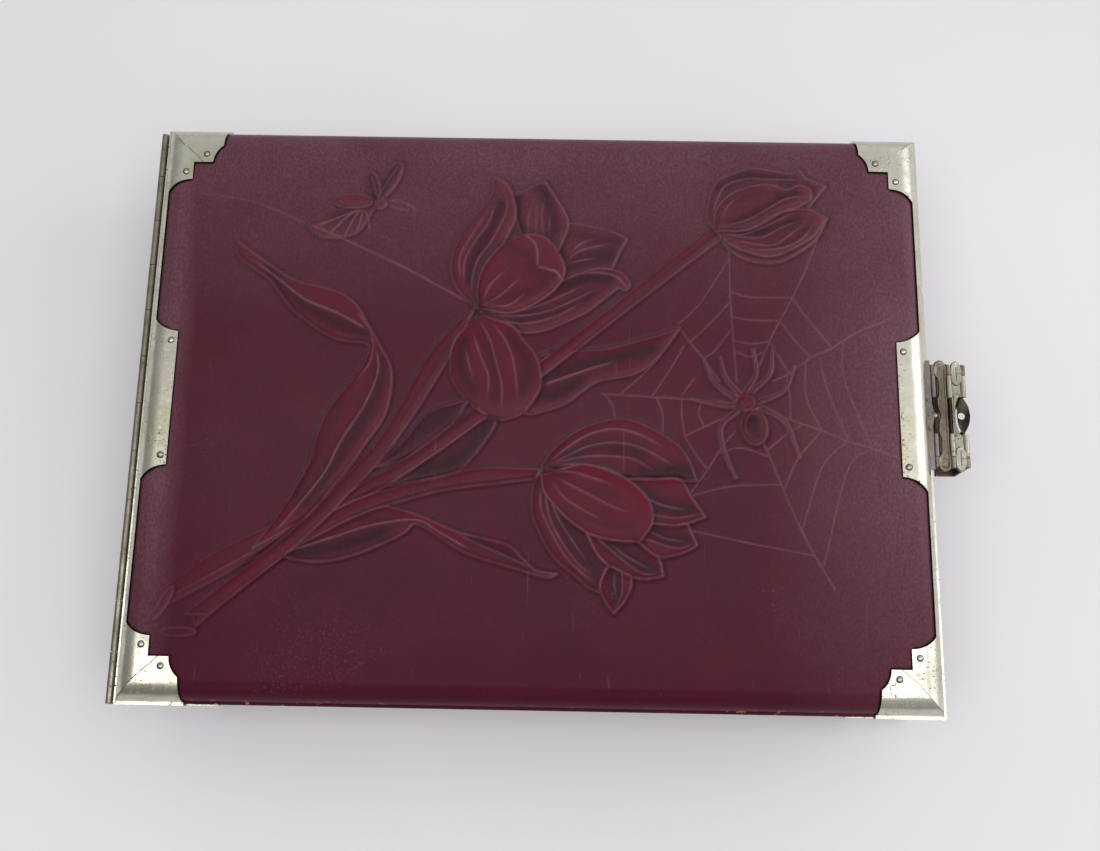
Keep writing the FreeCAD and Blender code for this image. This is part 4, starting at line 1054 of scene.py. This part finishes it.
def lid_edge(rim, low, high):
    """Loops of points that follow the rim down over the lip, to the foot and in under the board."""
    for inset, height in ((0.5, LID_LIP_TOP), (0.1, LID_LIP_TOP - 0.3), (0, LID_LIP_TOP - 0.8),
                          (0, low[2] + 0.6), (0.5, low[2]), (TURN_IN, low[2]), (TURN_IN, low[2] + 0.5)):
        ring = rim.copy()
        for axis, reach in ((0, high[0] - inset), (1, high[1] - inset)):
            at_edge = np.abs(rim[:, axis]) > rim[:, axis].max() - 0.01
            size = np.where(at_edge, reach, np.minimum(np.abs(rim[:, axis]), reach))
            ring[:, axis] = np.sign(rim[:, axis]) * size
        ring[:, 2] = height
        yield ring


def paint_tones(mesh, art, seam):
    """Stores the picture's light, red and dark, and 1 - seam for the painted shade along the metal, on the
    mesh's first points.
    """
    tone = np.zeros((len(mesh.vertices), 4))
    tone[:, 3] = 1
    tone[: seam.size, 3] -= seam.ravel()
    for channel, tones in enumerate((art.light, art.red, art.dark)):
        tone[: seam.size, channel] = np.clip(tones, 0, 1).ravel()
    mesh.attributes.new("tone", "FLOAT_COLOR", "POINT").data.foreach_set("color", tone.ravel())


def lid_leather():
    """The lid's one skin: padded top with the tooled picture, round shoulder, lip and turned-in edge."""
    low, high = box_mm("lid_leather_cover")
    xs, drop_x = sheet_places(high[0])
    ys, drop_y = sheet_places(high[1])
    art = drawn_picture(xs, ys)
    arch_x = crown(xs, xs[-1] - SHOULDER_RADIUS)
    arch_y = crown(ys, ys[-1] - SHOULDER_RADIUS)
    z = np.minimum((arch_x - drop_x)[None, :], (arch_y - drop_y)[:, None]) + high[2] - CROWN_RISE
    metal = under_metal(xs, ys)
    near_metal = np.maximum(metal, soften(metal, 2) > 0.02)
    clear = np.clip(1 - 1.6 * soften(near_metal, METAL_BLUR), 0, 1)
    # the seam along the metal: a groove, and painted shade through the tone's alpha
    seam = soften(metal, SEAM_BLUR)
    seam = np.clip(5 * seam * (1 - seam), 0, 1)
    z += clear * wadding_swell(xs, ys, low, high) + clear * art.height
    z -= UNDER_METAL * (metal > 0) + SEAM_DEPTH * seam
    gx, gy = np.meshgrid(xs, ys)
    points = [np.stack([gx.ravel(), gy.ravel(), z.ravel()], 1)]
    faces = [quads(*gx.shape)]
    loop = rim_of(*gx.shape)
    rim = points[0][loop]
    for number, ring in enumerate(lid_edge(rim, low, high)):
        next_loop = gx.size + number * len(rim) + np.arange(len(rim))
        points.append(ring)
        faces.append(strip(loop, next_loop))
        loop = next_loop
    skin = leather("tooled_calf", tooled=True)
    obj = make_mesh("lid_tooled_leather", np.vstack(points), np.vstack(faces), skin)
    paint_tones(obj.data, art, seam)
    settle(obj, "lid", "burgundy_leather", "lid_leather_cover", "lid_padding")


# ---------------------------------------------------------------- pads and rolls inside


def pad(name, node, material, slot, spacing=4.0, pull=0.7, cap=2.0):
    """A velvet pad lying on the case floor, swollen by cloth simulation."""
    low, high = box_mm(node)
    points, faces, free = pillow(low, high - (0, 0, 0.8), spacing, pull)
    obj = make_mesh(name, points + swell(points, faces, free, cap), faces, material)
    subdivide(obj)
    settle(obj, "case", slot, node)


ROLL_COUNT = 8
ROLL_AROUND = 28
ROLL_ALONG = 22
ROLL_SLACK = 0.9


def one_roll(length, radius):
    """A roll along X round the origin: its ends round off and close in a fan."""
    angle = np.linspace(0, 2 * math.pi, ROLL_AROUND, endpoint=False)
    share = np.linspace(-1, 1, ROLL_ALONG)
    size = (radius - ROLL_SLACK) * np.clip(1 - np.abs(share) ** 14, 0, 1) ** 0.5
    size = np.maximum(size, 0.25 * radius)
    ring = np.stack([np.zeros(ROLL_AROUND), np.cos(angle), np.sin(angle)], 1)
    points = np.vstack([ring * s + (at, 0, 0) for s, at in zip(size, share * length / 2)])
    first = np.arange(ROLL_AROUND)
    faces = [strip(first + k * ROLL_AROUND, first + (k + 1) * ROLL_AROUND)[:, ::-1]
             for k in range(ROLL_ALONG - 1)]
    fan = 1 + 2 * np.arange(ROLL_AROUND // 2 - 1)
    cap = np.stack([np.zeros(len(fan), int), fan, fan + 1, fan + 2], 1)
    return points, np.vstack(faces + [cap, cap[:, ::-1] + (ROLL_ALONG - 1) * ROLL_AROUND])


def ring_rolls(material):
    """Eight velvet rolls: rings stand in the slots between them."""
    low, high = box_mm("ring_rolls")
    radius = (high[2] - low[2]) / 2
    pitch = (high[1] - low[1] - 2 * radius) / (ROLL_COUNT - 1)
    length = high[0] - low[0]
    points, faces = one_roll(length, radius)
    free = (points[:, 2] > -0.6 * radius) & (np.abs(points[:, 0]) < 0.9 * length / 2)
    swollen = points + swell(points, faces, free, 0.8)
    start = np.array(((low[0] + high[0]) / 2, low[1] + radius, low[2] + radius))
    rolls = [swollen + start + (0, number * pitch, 0) for number in range(ROLL_COUNT)]
    all_faces = [faces + number * len(points) for number in range(ROLL_COUNT)]
    obj = make_mesh("velvet_ring_rolls", np.vstack(rolls), np.vstack(all_faces), material)
    subdivide(obj)
    settle(obj, "case", "velvet", "ring_rolls")


QUILT_PITCH = 24.0
QUILT_DEPTH = 1.7
QUILT_BORDER = 9
BUTTON_POINTS = 12
BUTTON_PROFILE = ((0.25, -1.3), (1.2, -1.1), (1.9, -0.4), (2.0, 0.3))


def satin_pad(material):
    """The quilted satin pad inside the lid, and a covered button where its channels cross."""
    low, high = box_mm("lid_satin_pad")
    points, faces, free = pillow((low[0], low[1], -high[2]), (high[0], high[1], -low[2] - 0.4), 3, 1)
    points = points + swell(points, faces, free, 1.2)
    obj = make_mesh("quilted_lid_pad", points * (1, 1, -1), faces[:, ::-1], material)
    subdivide(obj)
    co = points_of(obj.data)
    facing = ease((low[2] + 1.6 - co[:, 2]) / 1.2)
    middle = (low + high) / 2
    a = (co[:, 0] - middle[0] + co[:, 1] - middle[1]) / QUILT_PITCH
    b = (co[:, 0] - middle[0] - co[:, 1] + middle[1]) / QUILT_PITCH
    puff = np.sqrt(np.abs(np.sin(math.pi * a) * np.sin(math.pi * b)))
    half = (high - low)[:2] / 2
    edge = (half - np.abs(co[:, :2] - middle[:2])).min(1)
    border = ease((edge - QUILT_BORDER) / 1.5)
    groove = np.exp(-(((edge - QUILT_BORDER) / 1.2) ** 2))
    co[:, 2] += facing * (QUILT_DEPTH * (1 - puff) * border + groove * 1.2 - 0.6)
    obj.data.vertices.foreach_set("co", (co * MM).ravel())
    obj.data.update()
    settle(obj, "lid", "quilted_satin", "lid_satin_pad")
    satin_buttons(material, middle, half - QUILT_BORDER - 2, low[2] + QUILT_DEPTH - 0.4)


def satin_buttons(material, middle, half, z):
    """A covered button wherever two channels cross, out to half from the middle."""
    points, faces = [], []
    angle = np.linspace(0, 2 * math.pi, BUTTON_POINTS, endpoint=False)
    around = np.stack([np.cos(angle), np.sin(angle)], 1)
    steps = range(-20, 21)
    for i, j in ((i, j) for i in steps for j in steps if (i + j) % 2 == 0):
        spot = np.array((i, j)) * QUILT_PITCH / 2
        if (np.abs(spot) > half).any():
            continue
        start = len(points) * BUTTON_POINTS
        for radius, drop in BUTTON_PROFILE:
            ring = middle[:2] + spot + radius * around
            points.append(np.column_stack([ring, np.full(BUTTON_POINTS, z + drop)]))
        for k in range(len(BUTTON_PROFILE) - 1):
            first = start + k * BUTTON_POINTS + np.arange(BUTTON_POINTS)
            faces.append(strip(first, first + BUTTON_POINTS)[:, ::-1])
    obj = make_mesh("satin_buttons", np.vstack(points), np.vstack(faces), material)
    settle(obj, "lid", "quilted_satin")


def rounded_bar(name, node, material, slot, crown=1.4):
    """A velvet-covered divider: straight sides and a round top."""
    low, high = box_mm(node)
    long = 0 if high[0] - low[0] > high[1] - low[1] else 1
    thin = 1 - long
    half = (high[thin] - low[thin]) / 2
    angle = np.radians(np.linspace(0, 180, 13))
    side = np.concatenate([[half], half * np.cos(angle), [-half]])
    top = np.concatenate([[low[2]], high[2] - crown + crown * np.sin(angle), [low[2]]])
    stations = np.linspace(low[long], high[long], max(4, int((high[long] - low[long]) / 3)))
    points = np.zeros((len(stations), len(side), 3))
    points[..., long] = stations[:, None]
    points[..., thin] = (low[thin] + half + side)[None, :]
    points[..., 2] = top[None, :]
    faces = quads(len(stations), len(side))
    obj = make_mesh(name, points.reshape(-1, 3), faces if long == 1 else faces[:, ::-1], material)
    settle(obj, "case", slot, node)


# ---------------------------------------------------------------- the clasp's leaves, the rivets' rings


def both_ends(half):
    """A closed outline from its back half: points from the right side round to the left."""
    front = [(x, -y) for x, y in half[::-1]]
    return spaced([*half, *front, half[0]], 97)[:-1]


def on_spine(outline, x, reach):
    """For each outline point, the nearest point on a straight spine along Y."""
    return np.column_stack([np.full(len(outline), x), np.clip(outline[:, 1], -reach, reach)])


# the back halves of the leaves' outlines, seen from above, from the right side round to the left
LINK_BACK_HALF = [
    (151.8, 0), (151.9, 5), (151.7, 9), (151.8, 14), (152.2, 17), (151.8, 20), (150.0, 21.2), (148.0, 20.2),
    (147.1, 17.5), (147.7, 15.4), (148.9, 14.2), (149.0, 8), (148.2, 6.4), (148.4, 3), (149.4, 0)]
LOBE_BACK_HALF = [
    (158.0, 0), (157.9, 2.0), (157.2, 3.9), (155.9, 4.8), (154.5, 4.0), (153.8, 2.0), (153.7, 0)]
BRIDGE_BACK_HALF = [
    (154.7, 0), (155.0, 3), (155.5, 5), (156.1, 6.6), (156.9, 7.6), (156.6, 8.6), (154.6, 8.6),
    (153.8, 7.8), (153.8, 4), (153.8, 0)]
TAB_BACK_HALF = [
    (160.0, 0), (159.4, 3.4), (157.9, 6.2), (157.2, 6.9), (156.5, 6.2), (155.5, 3.4), (155.2, 0)]
# what each leaf is pressed to: (share inwards, mm above the link's top)
LINK_PROFILE = (
    (0, -0.3), (0.08, 0.1), (0.24, 0.15), (0.38, -0.25), (0.6, -0.55), (0.85, -0.2), (0.98, -0.1))
LOBE_PROFILE = (
    (0, -0.7), (0.12, -0.1), (0.3, 0), (0.45, -0.3), (0.6, -0.05), (0.75, -0.3), (0.95, -0.1))
BRIDGE_PROFILE = ((0, -0.75), (0.3, -0.5), (0.97, -0.55))
TAB_PROFILE = ((0, 0.2), (0.12, 0.1), (0.5, -0.5), (0.93, -0.7), (1, -0.8))
# where the strap's lobes sit along Y, and half the length of the spine inside each
LOBE_PLACE = 16.2
LOBE_SPINE = 2.4
# the hole in the thumb tab
HOLE_X = 157.1
HOLE_RADIUS = 1.3


def stamped_leaf(name, outline, inner, profile, thick, material):
    """Sheet metal between an outline and a hole or spine, pressed to a profile."""
    count = len(outline)
    top = box_mm("clasp_link")[1][2]
    rings = [np.column_stack([outline + (inner - outline) * share, np.full(count, top + lift)])
             for share, lift in profile]
    rings += [ring - (0, 0, thick) for ring in rings[::-1]]
    loops = [np.arange(count) + k * count for k in range(len(rings))]
    faces = [strip(after, before) for before, after in zip(loops, loops[1:] + loops[:1])]
    return make_mesh(name, np.vstack(rings), np.vstack(faces), material)


def clasp_leaves(brown, silver, dark):
    """The link's and strap's lobed leaves with their pressed rims, and the dished thumb tab."""
    link = both_ends(LINK_BACK_HALF)
    leaf = stamped_leaf("clasp_link_leaf", link, on_spine(link, 150.3, 17.5), LINK_PROFILE, 0.35, brown)
    settle(leaf, "clasp_link", "clasp_metal")
    for name, middle in (("back", LOBE_PLACE), ("front", -LOBE_PLACE)):
        lobe = both_ends(LOBE_BACK_HALF)
        lobe[:, 1] += middle
        inner = on_spine(lobe, 155.8, 0)
        inner[:, 1] = np.clip(lobe[:, 1], middle - LOBE_SPINE, middle + LOBE_SPINE)
        leaf = stamped_leaf("clasp_strap_lobe_" + name, lobe, inner, LOBE_PROFILE, 0.3, silver)
        settle(leaf, "clasp_strap", "nickel_silver")
    bridge = both_ends(BRIDGE_BACK_HALF)
    spine = on_spine(bridge, 154.3, 7.8)
    leaf = stamped_leaf("clasp_strap_bridge", bridge, spine, BRIDGE_PROFILE, 0.3, silver)
    settle(leaf, "clasp_strap", "nickel_silver")
    tab = both_ends(TAB_BACK_HALF)
    angle = np.arctan2(tab[:, 1], tab[:, 0] - HOLE_X)
    hole = np.column_stack([HOLE_X + HOLE_RADIUS * np.cos(angle), HOLE_RADIUS * np.sin(angle)])
    # the thumb tab is painted dark as the shade in its hollow
    leaf = stamped_leaf("clasp_thumb_piece", tab, hole, TAB_PROFILE, 0.35, dark)
    settle(leaf, "clasp_hasp", "dark_bronze", "clasp_thumb_tab")


# the rivets in one quarter of the lid, and a rivet ring's (radius, lift)
RIVETS = ((134.5, 88.5), (127.1, 95.8), (134.1, 21.5))
COLLAR_PROFILE = ((1.32, -0.05), (1.22, 0.07), (1.0, 0.10), (0.86, -0.02))
COLLAR_POINTS = 24


def rivet_collars(material):
    """A ring round each rivet head, laid on the mount's own surface and painted dark as the shade in the
    groove pressed round the head.
    """
    angle = np.linspace(0, 2 * math.pi, COLLAR_POINTS, endpoint=False)
    graph = bpy.context.evaluated_depsgraph_get()
    points, faces = [], []
    for side, where in ((-1, "left"), (1, "right")):
        tree = BVHTree.FromObject(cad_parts["lid_mount_" + where], graph)
        for x, y in ((side * x, end * y) for x, y in RIVETS for end in (-1, 1)):
            start = len(points) * COLLAR_POINTS
            for radius, lift in COLLAR_PROFILE:
                ring = np.column_stack([x + radius * np.cos(angle), y + radius * np.sin(angle), 0 * angle])
                for spot in ring:
                    above = Vector((*spot[:2], 80)) * MM
                    spot[2] = lift + tree.ray_cast(above, Vector((0, 0, -1)))[0].z / MM
                points.append(ring)
            for k in range(len(COLLAR_PROFILE) - 1):
                first = start + k * COLLAR_POINTS + np.arange(COLLAR_POINTS)
                faces.append(strip(first + COLLAR_POINTS, first))
    collars = make_mesh("rivet_collars", np.vstack(points), np.vstack(faces), material)
    settle(collars, "lid", "dark_bronze")


# ---------------------------------------------------------------- the CAD nodes' materials


def dress(material, *nodes):
    """The material goes on these CAD nodes, whose shape stays."""
    for name in nodes:
        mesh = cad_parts[name].data
        mesh.materials.clear()
        mesh.materials.append(material)


# each metal's bright and dull colours and tarnish, then how pitted and how rough it is
METALS = {
    "aged_nickel_silver": ((0.70, 0.68, 0.59), (0.50, 0.49, 0.40), (0.46, 0.42, 0.20), 0.9, 0.26),
    "grey_strap_metal": ((0.42, 0.41, 0.36), (0.26, 0.25, 0.20), (0.28, 0.24, 0.13), 0.8, 0.36),
    "rivet_silver": ((0.60, 0.59, 0.52), (0.34, 0.33, 0.28), (0.30, 0.27, 0.15), 0.9, 0.26),
    "olive_hinge_metal": ((0.31, 0.295, 0.24), (0.18, 0.165, 0.12), (0.22, 0.20, 0.10), 0.8, 0.40),
    # brown patina, darkened further as painted shade of the link's face turned from the light
    "brown_and_shade_clasp_metal": ((0.27, 0.245, 0.20), (0.13, 0.11, 0.08), (0.24, 0.15, 0.08), 0.8, 0.34),
    # darker mauve grey: a painted reflection of dark surroundings on the plate's silver
    "painted_reflection_plate_metal": ((0.25, 0.23, 0.23), (0.13, 0.115, 0.115), (0.22, 0.16, 0.11), 0.8, 0.36),
    "rusty_hasp_metal": ((0.22, 0.185, 0.14), (0.15, 0.10, 0.055), (0.28, 0.13, 0.05), 0.8, 0.42),
    # near black: painted shade on the pins in their slits, the thumb tab's hollow and the grooves round the
    # rivets
    "dark_bronze": ((0.060, 0.052, 0.040), (0.030, 0.026, 0.020), (0.06, 0.05, 0.03), 0.3, 0.30),
    "dull_wire": ((0.42, 0.42, 0.40), (0.28, 0.27, 0.25), (0.26, 0.17, 0.10), 0.7, 0.36),
}
METAL_NODES = {
    "aged_nickel_silver": ("lid_mount_left", "lid_mount_right", "base_mount_left", "base_mount_right"),
    "grey_strap_metal": ("clasp_strap", "clasp_knob"),
    "rivet_silver": ("lid_mount_rivets",),
    "olive_hinge_metal": ("hinge_leaf_lid", "hinge_leaf_case"),
    # the link: brown patina with painted shade
    "brown_and_shade_clasp_metal": ("clasp_link",),
    # the plate, painted darker as a reflection
    "painted_reflection_plate_metal": ("clasp_plate",),
    "rusty_hasp_metal": ("clasp_hasp", "keeper"),
    # the pins, painted dark as the shade in their slits
    "dark_bronze": ("clasp_pin_first", "clasp_pin_second", "clasp_pin_third"),
    "dull_wire": ("hinge_pin", "hinge_screws_lid", "hinge_screws_case", "keeper_pins"),
}


def dress_frame():
    """Materials for every CAD node that keeps its own shape, and the stamped pieces on the clasp."""
    metals = {name: aged_metal(name, *tones, folded=name == "aged_nickel_silver")
              for name, tones in METALS.items()}
    for name, nodes in METAL_NODES.items():
        dress(metals[name], *nodes)
    dress(leather("plain_calf"), "base_leather_cover", "wall_leather")
    dress(millboard(), "lid_board", "lid_lining_board", "base_board")
    dress(thin_wood(), "front_wall", "back_wall", "spine_wall", "fore_edge_wall")
    clasp_leaves(metals["brown_and_shade_clasp_metal"], metals["grey_strap_metal"], metals["dark_bronze"])
    rivet_collars(metals["dark_bronze"])


def floor():
    """The pale sheet, a hair below the case."""
    side, thick, gap = 6000, 3, 0.2
    points, faces, _ = pillow((-side, -side, -thick), (side, side, -gap), side / 10, 1)
    make_mesh("paper_floor", points, faces, paper())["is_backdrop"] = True


set_camera()
set_lights()
floor()
dress_frame()
lid_leather()
pile = velvet()
dress(pile, "floor_lining", "wall_lining")
for pad_node in ("ring_bed", "necklace_pad", "bracelet_pad", "brooch_pad"):
    pad("velvet_" + pad_node, pad_node, pile, "velvet")
ring_rolls(pile)
for bar in ("ring_divider", "long_divider", "short_divider"):
    rounded_bar("velvet_" + bar, bar, pile, "velvet")
satin_pad(satin())

corners = {"cad": CAD_BOX, "visual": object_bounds()}
{name: [list(map(float, c)) for c in box] for name, box in corners.items()}
